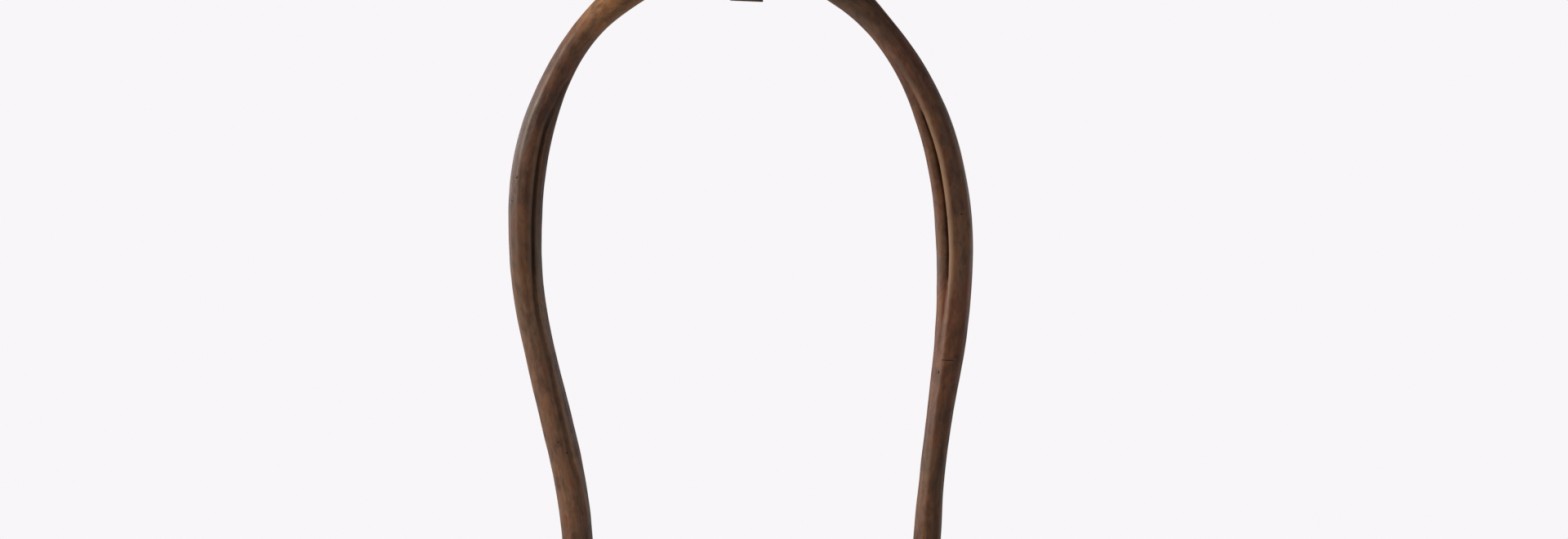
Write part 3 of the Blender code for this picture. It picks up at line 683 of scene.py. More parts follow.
# Forged iron: scale and old rust, rubbed brighter on the edges
def forgedIron():
    material, tree, shader = startMaterial("forged iron, rusted and oiled", {"Roughness": 0.6})
    place = addNode(tree, "ShaderNodeTexCoord").outputs["Object"]
    # rust patches about 20 mm across, grit about 1.5 mm and pits about 2.5 mm apart
    patch = addNode(tree, "ShaderNodeTexNoise", {"Scale": 55.0, "Detail": 6.0, "Roughness": 0.62},
                    {"Vector": place})
    grit = addNode(tree, "ShaderNodeTexNoise", {"Scale": 700.0, "Detail": 3.0, "Roughness": 0.6},
                   {"Vector": place})
    pits = addNode(tree, "ShaderNodeTexVoronoi", {"Scale": 420.0, "Randomness": 1.0}, {"Vector": place})
    scale = addNode(tree, "ShaderNodeValToRGB", {"stops": [
        (0.32, "#2b2725"), (0.47, "#39312d"), (0.56, "#483429"), (0.66, "#5f412f"), (0.78, "#3f2e26")]},
        {"Fac": patch.outputs[0]})
    speck = addNode(tree, "ShaderNodeValToRGB", {"stops": [
        (0.30, "#8f8781"), (0.55, "#ffffff"), (0.75, "#e2c9b4")]}, {"Fac": grit.outputs[0]})
    rusty = addNode(tree, "ShaderNodeMix", {"data_type": "RGBA", "blend_type": "MULTIPLY", "Factor": 0.7},
                    {6: scale.outputs[0], 7: speck.outputs[0]})
    edge = addNode(tree, "ShaderNodeAttribute", {"attribute_name": "edge"}).outputs["Fac"]
    broken = addNode(tree, "ShaderNodeMath", {"operation": "MULTIPLY_ADD", 1: 0.16, 2: -0.08},
                     {0: grit.outputs[0]})
    edgy = addNode(tree, "ShaderNodeMath", {"operation": "ADD"}, {0: edge, 1: broken.outputs[0]})
    rubbed = addNode(tree, "ShaderNodeMapRange", {
        "From Min": 0.16, "From Max": 0.60, "To Min": 0.0, "To Max": 0.55}, {"Value": edgy.outputs[0]})
    bare = addNode(tree, "ShaderNodeMix", {"data_type": "RGBA", "blend_type": "MIX", 7: linear("#67605b")},
                   {"Factor": rubbed.outputs[0], 6: rusty.outputs[2]})
    tree.links.new(bare.outputs[2], shader.inputs["Base Color"])
    metal = addNode(tree, "ShaderNodeMapRange", {
        "From Min": 0.42, "From Max": 0.58, "To Min": 0.75, "To Max": 0.05}, {"Value": patch.outputs[0]})
    metallic = addNode(tree, "ShaderNodeMath", {"operation": "MAXIMUM"},
                       {0: metal.outputs[0], 1: rubbed.outputs[0]})
    tree.links.new(metallic.outputs[0], shader.inputs["Metallic"])
    rough = addNode(tree, "ShaderNodeMapRange", {
        "From Min": 0.3, "From Max": 0.7, "To Min": 0.42, "To Max": 0.80}, {"Value": patch.outputs[0]})
    tree.links.new(rough.outputs[0], shader.inputs["Roughness"])
    pitted = addNode(tree, "ShaderNodeBump", {"Strength": 0.45, "Distance": 0.0004},
                     {"Height": pits.outputs["Distance"]})
    grainy = addNode(tree, "ShaderNodeBump", {"Strength": 0.5, "Distance": 0.0003},
                     {"Height": grit.outputs[0], "Normal": pitted.outputs[0]})
    tree.links.new(grainy.outputs[0], shader.inputs["Normal"])
    return material


# Beam: hewn from one oak baulk, its neck seat worn smooth, drying checks along the grain

beam = {
    "middle": 0.005,
    # distance from the middle, top, bottom, half of the depth and corner radius, in metres
    "sections": [
        (0.000, -0.642, -0.706, 0.0400, 0.013), (0.060, -0.636, -0.703, 0.0400, 0.013),
        (0.110, -0.618, -0.696, 0.0400, 0.013), (0.150, -0.611, -0.695, 0.0400, 0.013),
        (0.195, -0.611, -0.694, 0.0380, 0.013), (0.260, -0.604, -0.667, 0.0310, 0.013),
        (0.320, -0.591, -0.638, 0.0250, 0.012), (0.350, -0.583, -0.622, 0.0225, 0.011),
        (0.375, -0.577, -0.610, 0.0210, 0.010),
    ],
    "half": 0.375,
    "tipRound": 0.014,
    "rings": 340,
    "flatPoints": 26,
    "cornerPoints": 6,
    "bowHole": 15.5 * mm,
    "boltHole": 5.4 * mm,
    "nailHole": 2.1 * mm,
    "seatRadius": 13.0 * mm,
    "seatDepthY": 23.2 * mm,
    "plateGap": 0.3 * mm,             # round and above the let-in plates
    "adzeCut": 1.0 * mm,
    "swell": 0.35 * mm,
    "grain": 0.12 * mm,
    "fullFrom": 0.334,
    # drying checks: face, start and end along the beam, place across the face, width and depth in mm
    "checks": [
        ("front", -0.118, 0.052, 0.18, 1.3, 9), ("front", 0.030, 0.112, -0.34, 0.9, 6),
        ("front", -0.300, -0.196, -0.10, 1.0, 7), ("front", 0.205, 0.292, 0.22, 1.1, 7),
        ("back", -0.060, 0.118, 0.06, 1.4, 9), ("back", -0.290, -0.205, 0.28, 0.9, 6),
        ("back", 0.196, 0.302, -0.18, 1.0, 7), ("top", -0.090, 0.020, -0.38, 0.8, 5),
        ("top", -0.286, -0.204, 0.12, 1.0, 6), ("bottom", -0.070, 0.088, 0.25, 1.2, 8),
        ("bottom", 0.206, 0.300, -0.15, 0.9, 6),
    ],
}


def beamSection(distance):
    # top, bottom, half-depth and corner, flowing through the listed sections without overshoot
    rows = beam["sections"]
    index = max(i for i in range(len(rows) - 1) if rows[i][0] <= distance or i == 0)
    span = rows[index + 1][0] - rows[index][0]
    t = (distance - rows[index][0]) / span

    def slope(i, k):
        if i == 0:
            return 0.0
        steps = [(b[k] - a[k]) / (b[0] - a[0]) for a, b in zip(rows[i - 1:i + 1], rows[i:i + 2])]
        if len(steps) == 1:
            return steps[0]
        return 2 * steps[0] * steps[1] / (steps[0] + steps[1]) if steps[0] * steps[1] > 0 else 0.0

    values = []
    for k in range(1, 5):
        first, last = slope(index, k) * span, slope(index + 1, k) * span
        step = rows[index + 1][k] - rows[index][k]
        values.append(rows[index][k] + first * t + (3 * step - 2 * first - last) * t ** 2
                      + (first + last - 2 * step) * t ** 3)
    return values


def beamRow(side, distance, flat, corners, shrink=1.0, grow=0.0):
    # points round the beam, a rounded rectangle
    top, bottom, depth, corner = beamSection(distance)
    high = (top - bottom) / 2 * shrink + grow
    depth, corner = depth * shrink + grow, corner * shrink + grow
    x, middle = beam["middle"] + side * distance, (top + bottom) / 2
    row = []
    for quarter in range(4):
        ySide, zSide = (1 if quarter in (0, 3) else -1), (1 if quarter in (0, 1) else -1)
        turnPoint = Vector((x, ySide * (depth - corner), middle + zSide * (high - corner)))
        for i in range(corners + 1):
            angle = math.pi / 2 * (quarter + i / corners)
            row.append(turnPoint + corner * Vector((0, math.cos(angle), math.sin(angle))))
        along = (Vector((0, -1, 0)), Vector((0, 0, -1)), Vector((0, 1, 0)), Vector((0, 0, 1)))[quarter]
        length = 2 * ((depth - corner) if quarter in (0, 2) else (high - corner))
        last = row[-1]
        row.extend(last + along * length * i / flat for i in range(1, flat))
    return row


def checkBlade(face, start, end, across, width, depth):
    # a thin wavy wedge that opens a drying check
    rows, steps = [], 26
    for i in range(steps + 1):
        x = start + (end - start) * i / steps
        top, bottom, deep, corner = beamSection(abs(x - beam["middle"]))
        gape = width * mm / 2 * max(math.sin(math.pi * i / steps), 0.03) ** 0.7
        sunk = depth * mm * max(math.sin(math.pi * i / steps), 0.05) ** 0.5
        stray = 0.0022 * wave((x, across, 0), 16, across * 9) + 0.0007 * wave((x, across, 0), 70, across * 5)
        if face in ("front", "back"):
            out = Vector((0, -1 if face == "front" else 1, 0))
            height = (top + bottom) / 2 + across * ((top - bottom) / 2 - corner) + stray
            centre = Vector((x, out.y * deep, height))
            side = Vector((0, 0, 1))
        else:
            out = Vector((0, 0, 1 if face == "top" else -1))
            centre = Vector((x, across * (deep - corner) + stray, top if face == "top" else bottom))
            side = Vector((0, 1, 0))
        rows.append([centre + out * 2 * mm + side * gape, centre + out * 2 * mm - side * gape,
                     centre - out * sunk - side * 0.04 * mm, centre - out * sunk + side * 0.04 * mm])
    return skin(rows)


def makeBeam():
    straight = beam["half"] - beam["tipRound"]
    stations = [(straight * i / beam["rings"] * 2, 1.0) for i in range(beam["rings"] // 2 + 1)]
    for i in range(1, 10):
        rise = math.sin(math.pi / 2 * i / 9.6)
        stations.append((straight + beam["tipRound"] * rise, (1 - rise ** 2.8) ** (1 / 2.8)))
    size = (beam["flatPoints"], beam["cornerPoints"])
    rows = [beamRow(-1, distance, *size, shrink) for distance, shrink in stations[:0:-1]]
    rows += [beamRow(1, distance, *size, shrink) for distance, shrink in stations]
    mesh = skin(rows)

    # adze scallops on the faces, shallower where necks have polished the seat, and swelling of the grain
    normals = [vertex.normal.copy() for vertex in mesh.vertices]
    for vertex, normal in zip(mesh.vertices, normals):
        x, y, z = vertex.co
        near, _ = noise.voronoi(Vector((x * 21, y * 34, z * 34 + 7)))
        seat = max(0.0, normal.z) * max(0.0, 1 - abs(x - beam["middle"]) / 0.10)
        cut = beam["adzeCut"] * (1 - min(near[0] / 0.85, 1) ** 2) * (1 - 0.85 * seat)
        # the wood stays full under the bands
        snug = 1 - max(0.0, min(1.0, (abs(x - beam["middle"]) - beam["fullFrom"]) / (8 * mm)))
        sunk = cut * snug + beam["swell"] * wave((x * 0.25, y, z), 60, 2.0)
        sunk += beam["grain"] * wave((x * 0.12, y, z), 420, 4.0)
        vertex.co -= normal * max(sunk * (0.15 + 0.85 * snug), 0)

    cutters = [checkBlade(*check) for check in beam["checks"]]
    for side in ("left", "right"):
        low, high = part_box("pin_plate_" + side)
        x = (low.x + high.x) / 2
        cutters.append(rod((x, 0, -0.76), (x, 0, -0.58), beam["bowHole"], 64))
        gap, tall = beam["plateGap"], 30 * mm
        cutters.append(slab((high.x - low.x + 2 * gap, high.y - low.y + 2 * gap, tall),
                            (x, 0, high.z + gap - tall / 2)))
        low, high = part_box("eye_washer_" + side)
        x, z = (low.x + high.x) / 2, (low.z + high.z) / 2
        cutters.append(rod((x, -0.05, z), (x, 0.05, z), beam["boltHole"], 40))
        cutters.append(rod((x, beam["seatDepthY"], z), (x, 0.05, z), beam["seatRadius"], 56))
        cutters.append(rod((x, -0.05, z), (x, -beam["seatDepthY"], z), beam["seatRadius"], 56))
    for low, high in nailBoxes():
        centre, longest = (low + high) / 2, max(range(3), key=lambda i: (high - low)[i])
        reach = Vector([(high - low)[i] / 2 + 1 * mm if i == longest else 0 for i in range(3)])
        cutters.append(rod(centre - reach, centre + reach, beam["nailHole"], 16))
    mesh = combined(mesh, "DIFFERENCE", cutters)
    markEdges(mesh)
    makePiece("hewnBeam", mesh, hewnOak(), "beam", "beam_wood", "neck_beam")
    print("beam:", len(mesh.polygons), "faces")


def nailBoxes():
    names = [f"plate_nail_{side}_{i}" for side in ("left", "right") for i in (1, 2, 3, 4)]
    return [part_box(name) for name in names + ["band_nail_left", "band_nail_right"]]


# Hewn oak: growth rings about a pith below the beam, darkened by sweat, grease and weather
def hewnOak():
    material, tree, shader = startMaterial("hewn oak, weathered and greased", {"IOR": 1.5})
    place = addNode(tree, "ShaderNodeTexCoord").outputs["Object"]
    # rings about 3.5 mm apart round a wandering pith along the beam
    centred = addNode(tree, "ShaderNodeMapping", {"Location": (0, 0.022, 0.742)}, {"Vector": place})
    drift = addNode(tree, "ShaderNodeTexNoise", {"Scale": 6.0, "Detail": 2.0}, {"Vector": place})
    warped = addNode(tree, "ShaderNodeVectorMath", {"operation": "MULTIPLY_ADD", 1: (0, 0.035, 0.035)},
                     {0: drift.outputs["Color"], 2: centred.outputs[0]})
    flattened = addNode(tree, "ShaderNodeVectorMath", {"operation": "MULTIPLY", 1: (0.02, 1, 1)},
                        {0: warped.outputs[0]})
    radius = addNode(tree, "ShaderNodeVectorMath", {"operation": "LENGTH"}, {0: flattened.outputs[0]})
    phase = addNode(tree, "ShaderNodeMath", {"operation": "MULTIPLY", 1: 285.0}, {0: radius.outputs["Value"]})
    ring = addNode(tree, "ShaderNodeMath", {"operation": "FRACT"}, {0: phase.outputs[0]})
    ringTone = addNode(tree, "ShaderNodeValToRGB", {"stops": [
        (0.0, "#5a4130"), (0.45, "#6b4d38"), (0.82, "#4c3526"), (0.95, "#3a271c"), (1.0, "#5a4130")]},
        {"Fac": ring.outputs[0]})
    long = addNode(tree, "ShaderNodeMapping", {"Scale": (14, 520, 520)}, {"Vector": place})
    fibre = addNode(tree, "ShaderNodeTexNoise", {"Scale": 1.0, "Detail": 5.0, "Roughness": 0.65},
                    {"Vector": long.outputs[0]})
    fibreTone = addNode(tree, "ShaderNodeValToRGB", {"stops": [
        (0.32, "#7d756e"), (0.5, "#f4f0ea"), (0.7, "#c8b5a2")]}, {"Fac": fibre.outputs[0]})
    grained = addNode(tree, "ShaderNodeMix", {"data_type": "RGBA", "blend_type": "MULTIPLY", "Factor": 0.85},
                      {6: ringTone.outputs[0], 7: fibreTone.outputs[0]})
    wide = addNode(tree, "ShaderNodeMapping", {"Scale": (7, 22, 22)}, {"Vector": place})
    stain = addNode(tree, "ShaderNodeTexNoise", {"Scale": 1.0, "Detail": 4.0, "Roughness": 0.6},
                    {"Vector": wide.outputs[0]})
    stainMask = addNode(tree, "ShaderNodeMapRange", {
        "From Min": 0.42, "From Max": 0.66, "To Min": 0.0, "To Max": 0.7}, {"Value": stain.outputs[0]})
    stained = addNode(tree, "ShaderNodeMix", {"data_type": "RGBA", "blend_type": "MIX", 7: linear("#3c2b21")},
                      {"Factor": stainMask.outputs[0], 6: grained.outputs[2]})
    # open checks and pores
    dash = addNode(tree, "ShaderNodeMapping", {"Scale": (46, 1500, 1500)}, {"Vector": place})
    pores = addNode(tree, "ShaderNodeTexNoise", {"Scale": 1.0, "Detail": 2.0}, {"Vector": dash.outputs[0]})
    poreMask = addNode(tree, "ShaderNodeMapRange", {
        "From Min": 0.60, "From Max": 0.68, "To Min": 0.0, "To Max": 0.7}, {"Value": pores.outputs[0]})
    pored = addNode(tree, "ShaderNodeMix", {"data_type": "RGBA", "blend_type": "MIX", 7: linear("#1c120c")},
                    {"Factor": poreMask.outputs[0], 6: stained.outputs[2]})
    edge = addNode(tree, "ShaderNodeAttribute", {"attribute_name": "edge"}).outputs["Fac"]
    rubbed = addNode(tree, "ShaderNodeMapRange", {
        "From Min": 0.04, "From Max": 0.20, "To Min": 0.0, "To Max": 0.32}, {"Value": edge})
    worn = addNode(tree, "ShaderNodeMix", {"data_type": "RGBA", "blend_type": "MIX", 7: linear("#8a6a4c")},
                   {"Factor": rubbed.outputs[0], 6: pored.outputs[2]})
    # darker in the hollows, checks and holes
    hollow = addNode(tree, "ShaderNodeMapRange", {
        "From Min": -0.03, "From Max": -0.15, "To Min": 0.0, "To Max": 0.8}, {"Value": edge})
    darkerInHollows = addNode(tree, "ShaderNodeMix", {"data_type": "RGBA", "blend_type": "MIX", 7: linear("#1a110b")},
                    {"Factor": hollow.outputs[0], 6: worn.outputs[2]})
    tree.links.new(darkerInHollows.outputs[2], shader.inputs["Base Color"])
    rough = addNode(tree, "ShaderNodeMapRange", {
        "From Min": 0.35, "From Max": 0.65, "To Min": 0.50, "To Max": 0.72}, {"Value": stain.outputs[0]})
    tree.links.new(rough.outputs[0], shader.inputs["Roughness"])
    fine = addNode(tree, "ShaderNodeBump", {"Strength": 0.6, "Distance": 0.0006}, {"Height": fibre.outputs[0]})
    deep = addNode(tree, "ShaderNodeBump", {"Strength": 0.6, "Distance": 0.0005, "invert": True},
                   {"Height": poreMask.outputs[0], "Normal": fine.outputs[0]})
    tree.links.new(deep.outputs[0], shader.inputs["Normal"])
    return material


# Irons: bearing plates, end bands, eye bolts with their washers and nuts, and the trace rings

irons = {
    "plateHole": 16.1 * mm,
    "nailHole": 2.1 * mm,
    "bandFrom": 0.346,
    "bandTo": 0.362,
    "bandThick": 2.4 * mm,
    "bandGap": 0.3 * mm,
    "boltShank": 5.0 * mm,
    "boltHole": 5.4 * mm,
    "threadPitch": 1.6 * mm,
    "threadDeep": 0.55 * mm,
    "threadLong": 16 * mm,
    "eyeRadius": 14.5 * mm,
    "eyeWire": 4.5 * mm,
    "ringRadius": 31.5 * mm,
    "ringWire": 4.5 * mm,
}


def makePlate(side, material):
    low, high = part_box("pin_plate_" + side)
    centre = (low + high) / 2
    cutters = [rod((centre.x, 0, low.z - 0.01), (centre.x, 0, high.z + 0.01), irons["plateHole"], 64)]
    for i in (1, 2, 3, 4):
        nailLow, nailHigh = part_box(f"plate_nail_{side}_{i}")
        x, y = (nailLow.x + nailHigh.x) / 2, (nailLow.y + nailHigh.y) / 2
        cutters.append(rod((x, y, low.z - 0.01), (x, y, high.z + 0.01), irons["nailHole"], 20))
    mesh = combined(slab(high - low, centre), "DIFFERENCE", cutters)
    mesh = forged(mesh, cell=0.6 * mm, passes=5, blow=0.35 * mm, spread=120, seed=centre.x)
    makePiece(side + "BearingPlate", mesh, material, "beam", "forged_iron", "pin_plate_" + side)


def makeBand(side, sign, material):
    # an iron hoop on the tapering end, lapped and welded behind
    rows, across = [], 9
    for low, high, layer in ((0, across, "outer"), (across, 0, "inner")):
        for i in (range(low, high + 1) if low < high else range(low, high - 1, -1)):
            t = i / across
            distance = irons["bandFrom"] + (irons["bandTo"] - irons["bandFrom"]) * t
            grow = irons["bandGap"] + (irons["bandThick"] if layer == "outer" else 0)
            eased = 0.7 * mm * (abs(2 * t - 1) ** 6) if layer == "outer" else 0.0
            row = beamRow(sign, distance, 14, 7, grow=grow - eased)
            if layer == "outer":
                row = [point + Vector((0, (point.y > 0) * 0.9 * mm * lapAt(point), 0)) for point in row]
                row = [point + (Vector((point.x, 0, -0.6)) - point).normalized()
                       * 0.25 * mm * (0.5 + 0.5 * wave(point, 160, 2 + sign)) for point in row]
            rows.append(row)
    mesh = skin(rows, closed=True)
    low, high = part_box("band_nail_" + side)
    x, z = (low.x + high.x) / 2, (low.z + high.z) / 2
    mesh = combined(mesh, "DIFFERENCE", [rod((x, low.y - 0.005, z), (x, 0, z), irons["nailHole"], 20)])
    markEdges(mesh)
    makePiece(side + "EndBand", mesh, material, "beam", "forged_iron", "end_band_" + side)


def lapAt(point):
    # the lap's step across the hoop's back face
    top, bottom, _, _ = beamSection(0.354)
    t = (point.z - (top + bottom) / 2 + 6 * mm) / (1.2 * mm)
    return max(0.0, min(1.0, t)) * max(0.0, min(1.0, (14 * mm - (point.z - (top + bottom) / 2)) / (12 * mm)))


def makeEyeBolt(side, material):
    low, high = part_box("eye_bolt_" + side)
    x, z = (low.x + high.x) / 2, (low.z + high.z) / 2
    eyeY = high.y - irons["eyeRadius"] - irons["eyeWire"]
    shank = irons["boltShank"]
    rows = []
    for i in range(64):                                 # the eye, bent round and closed with a weld
        turn = 2 * math.pi * i / 64
        out = Vector((0, math.cos(turn), math.sin(turn)))
        wire = irons["eyeWire"] * (1 + 0.03 * math.sin(3 * turn + x * 40))
        around = [2 * math.pi * k / 20 for k in range(20)]
        rows.append([Vector((x, eyeY, z)) + out * irons["eyeRadius"]
                     + wire * (out * math.cos(angle) + Vector((math.sin(angle), 0, 0))) for angle in around])
    eye = skin(rows, closed=True)
    # the plain shank from the eye down, then its cut thread
    neck, pitch = eyeY - irons["eyeRadius"], irons["threadPitch"]
    end, start = low.y + 0.8 * mm, low.y + irons["threadLong"]
    stations = [(neck + 1 * mm, shank), (neck - 4.5 * mm, shank), (start, shank)]
    while start > end:
        stations += [(start, shank - irons["threadDeep"]), (start - pitch * 0.5, shank)]
        start -= pitch
    stations += [(end, shank - 0.6 * mm), (low.y, shank - 1.5 * mm)]
    rows = [[Vector((x + radius * math.cos(2 * math.pi * k / 32), y, z + radius * math.sin(2 * math.pi * k / 32)))
             for k in range(32)] for y, radius in stations]
    mesh = combined(eye, "UNION", [skin(rows)])
    mesh = forged(mesh, cell=0.42 * mm, passes=2, blow=0.16 * mm, spread=150, seed=x)
    makePiece(side + "EyeBolt", mesh, material, "beam", "forged_iron", "eye_bolt_" + side)


def makeWasher(side, kind, material):
    low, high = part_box(kind + "_" + side)
    centre, radius = (low + high) / 2, (high.x - low.x) / 2
    rows = []
    for ring, y in ((irons["boltHole"], low.y), (radius, low.y), (radius, high.y), (irons["boltHole"], high.y)):
        rows.append([Vector((centre.x + ring * math.cos(2 * math.pi * k / 72), y,
                             centre.z + ring * math.sin(2 * math.pi * k / 72))) for k in range(72)])
    mesh = forged(skin(rows, closed=True), cell=0.4 * mm, passes=3, blow=0.2 * mm, spread=200,
                  seed=centre.x + centre.y)
    name = side + ("EyeWasher" if kind == "eye_washer" else "NutWasher")
    makePiece(name, mesh, material, "beam", "forged_iron", kind + "_" + side)


def makeNut(side, material):
    low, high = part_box("square_nut_" + side)
    centre, size = (low + high) / 2, high - low
    hole = rod((centre.x, low.y - 0.01, centre.z), (centre.x, high.y + 0.01, centre.z), irons["boltHole"], 40)
    # a cone takes the nut's front corners off
    facing = Matrix.Translation((centre.x, low.y - 4.3 * mm, centre.z)) @ Matrix.Rotation(math.pi / 2, 4, "X")
    cone = turned([(0.0001, 0.010), (size.x * 0.72, 0.0), (size.x * 0.72, -0.03), (0.0001, -0.03)], 64, facing)
    mesh = combined(slab(size, centre), "DIFFERENCE", [hole])
    mesh = combined(mesh, "INTERSECT", [cone])
    mesh = forged(mesh, cell=0.42 * mm, passes=3, blow=0.22 * mm, spread=190, seed=centre.x + 3)
    makePiece(side + "SquareNut", mesh, material, "beam", "forged_iron", "square_nut_" + side)


def makeTraceRing(side, material):
    low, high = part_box("trace_ring_" + side)
    centre = (low + high) / 2
    rows, steps, sides = [], 168, 26
    for i in range(steps):
        turn = 2 * math.pi * i / steps
        out = Vector((math.cos(turn), 0, math.sin(turn)))
        weld = math.exp(-((turn - 5.3) / 0.16) ** 2)
        worn = math.exp(-((turn - math.pi / 2) / 0.22) ** 2)
        row = []
        for k in range(sides):
            around = 2 * math.pi * k / sides
            spoke = out * math.cos(around) + Vector((0, math.sin(around), 0))
            place = centre + out * irons["ringRadius"]
            inside = max(0.0, -math.cos(around)) ** 2
            wire = irons["ringWire"] * (1 - 0.10 * worn * inside)
            wire -= 0.22 * mm * (0.5 + 0.5 * wave(place + spoke * 0.004, 150, 6 + centre.x)) * (1 - weld)
            row.append(place + spoke * wire)
        rows.append(row)
    mesh = skin(rows, closed=True)
    markEdges(mesh)
    makePiece(side + "TraceRing", mesh, material, side + "_ring", "forged_iron", "trace_ring_" + side)


def makeIrons():
    material = forgedIron()
    for side, sign in (("left", -1), ("right", 1)):
        makePlate(side, material)
        makeBand(side, sign, material)
        makeEyeBolt(side, material)
        makeWasher(side, "eye_washer", material)
        makeWasher(side, "nut_washer", material)
        makeNut(side, material)
        makeTraceRing(side, material)
    print("irons: done")
    return material


# Nails: hand-forged, a four-sided shank under a five-faceted rose head

nails = {
    "headHigh": 2.4 * mm,
    # the head's radius in mm and height as a share of headHigh
    "headProfile": [(0.3, 1.0), (1.6, 0.86), (3.2, 0.55), (4.3, 0.28), (4.5, 0.12), (4.3, 0.0)],
    "sides": 30,
    "shank": 1.6 * mm,
    "length": 26.0 * mm,
}


def scatterTree():
    # one small part set on every point, facing the point's own way, each turned and sized a little
    tree, given = startTree("partOnPoints", [
        ("Part", "NodeSocketObject"), ("Turn", "NodeSocketFloat"), ("Seed", "NodeSocketInt"),
        ("Material", "NodeSocketMaterial")])
    part = addNode(tree, "GeometryNodeObjectInfo", {}, {"Object": given["Part"]})
    facing = addNode(tree, "GeometryNodeInputNamedAttribute", {"data_type": "FLOAT_VECTOR", "Name": "facing"})
    aim = addNode(tree, "FunctionNodeAlignRotationToVector", {"axis": "Z"}, {"Vector": facing.outputs[0]})
    angle = addNode(tree, "FunctionNodeRandomValue", {"data_type": "FLOAT", 2: 0.0},
                    {3: given["Turn"], "Seed": given["Seed"]})
    spin = addNode(tree, "FunctionNodeAxisAngleToRotation", {"Axis": (0, 0, 1)}, {"Angle": angle.outputs[1]})
    both = addNode(tree, "FunctionNodeRotateRotation", {"rotation_space": "LOCAL"},
                   {"Rotation": aim.outputs[0], "Rotate By": spin.outputs[0]})
    size = addNode(tree, "FunctionNodeRandomValue", {
        "data_type": "FLOAT_VECTOR", 0: (0.93, 0.93, 0.90), 1: (1, 1, 1)}, {"Seed": given["Seed"]})
    placed = addNode(tree, "GeometryNodeInstanceOnPoints", {}, {
        "Points": given["Geometry"], "Instance": part.outputs["Geometry"], "Rotation": both.outputs[0],
        "Scale": size.outputs[0]})
    real = addNode(tree, "GeometryNodeRealizeInstances", {}, {"Geometry": placed.outputs[0]})
    coated = addNode(tree, "GeometryNodeSetMaterial", {}, {
        "Geometry": real.outputs[0], "Material": given["Material"]})
    addNode(tree, "NodeGroupOutput", {}, {"Geometry": coated.outputs[0]})
    return tree


def scatter(part, places, turn, seed, material):
    # places are (point, direction) pairs
    points = bpy.data.meshes.new("points")
    points.from_pydata([place for place, _ in places], [], [])
    keep(points, "facing", [facing for _, facing in places])
    source = bpy.data.objects.new("part", part)
    bpy.context.scene.collection.objects.link(source)
    mesh = runTree(scatterTree(), points, {"Part": source, "Turn": turn, "Seed": seed, "Material": material})
    bpy.data.objects.remove(source, do_unlink=True)
    return mesh


def roseNail():
    rows, turns = [], [2 * math.pi * k / nails["sides"] for k in range(nails["sides"])]
    for radius, height in nails["headProfile"]:
        row = []
        for k, angle in enumerate(turns):
            facet = math.cos(math.pi / 5) / math.cos((angle % (2 * math.pi / 5)) - math.pi / 5)
            blend = 0.55 * min(1.0, radius / 3.2)
            ring = radius * mm * (1 - blend + blend * facet)
            row.append((ring * math.cos(angle), ring * math.sin(angle),
                        height * nails["headHigh"] + 0.12 * mm * wave((k, radius, 0), 0.7)))
        rows.append(row)
    for depth in (0.0, 0.25, 0.5, 0.7, 0.85, 0.97, 1.0):
        half = nails["shank"] * (1 if depth < 0.5 else max(0.12, 1 - (depth - 0.5) * 1.8))
        row = []
        for angle in turns:
            square = 1 / max(abs(math.cos(angle)), abs(math.sin(angle)), 0.80)
            row.append((0.78 * half * square * math.cos(angle), 0.78 * half * square * math.sin(angle),
                        -nails["length"] * depth))
        rows.append(row)
    mesh = skin(rows)
    markEdges(mesh)
    return mesh


def makeNails(material):
    places, names = [], []
    for side in ("left", "right"):
        for i in (1, 2, 3, 4):
            names.append(f"plate_nail_{side}_{i}")
            low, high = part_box(names[-1])
            places.append((((low.x + high.x) / 2, (low.y + high.y) / 2, low.z + nails["headHigh"]), (0, 0, -1)))
        names.append("band_nail_" + side)
        low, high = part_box(names[-1])
        places.append((((low.x + high.x) / 2, low.y + nails["headHigh"], (low.z + high.z) / 2), (0, -1, 0)))
    mesh = scatter(roseNail(), places, 2 * math.pi, 4, material)
    makePiece("roseNails", mesh, material, "beam", "forged_iron", *names)
    print("nails:", len(places))


# Bow pins: whittled from a split ash billet with a drawknife

pins = {
    # distance back from the shoulder and radius, both in mm: knob in front, shank behind it
    "profile": [
        (-21.0, 0.6), (-20.6, 4.2), (-19.6, 6.6), (-18.0, 8.3), (-15.6, 9.4), (-12.5, 9.9), (-8.0, 9.95),
        (-5.0, 9.5), (-3.0, 8.9), (-1.4, 7.9), (0.0, 6.7), (2.0, 5.5), (12.0, 5.5), (24.0, 5.45), (40.0, 5.45),
        (56.0, 5.4), (66.0, 5.3), (72.0, 5.05), (77.0, 4.6), (80.5, 4.1), (83.0, 3.4), (83.9, 2.6), (84.0, 0.4),
    ],
    "facets": 9,
    "sides": 72,
    "step": 0.9,
    "steps": 115,
}


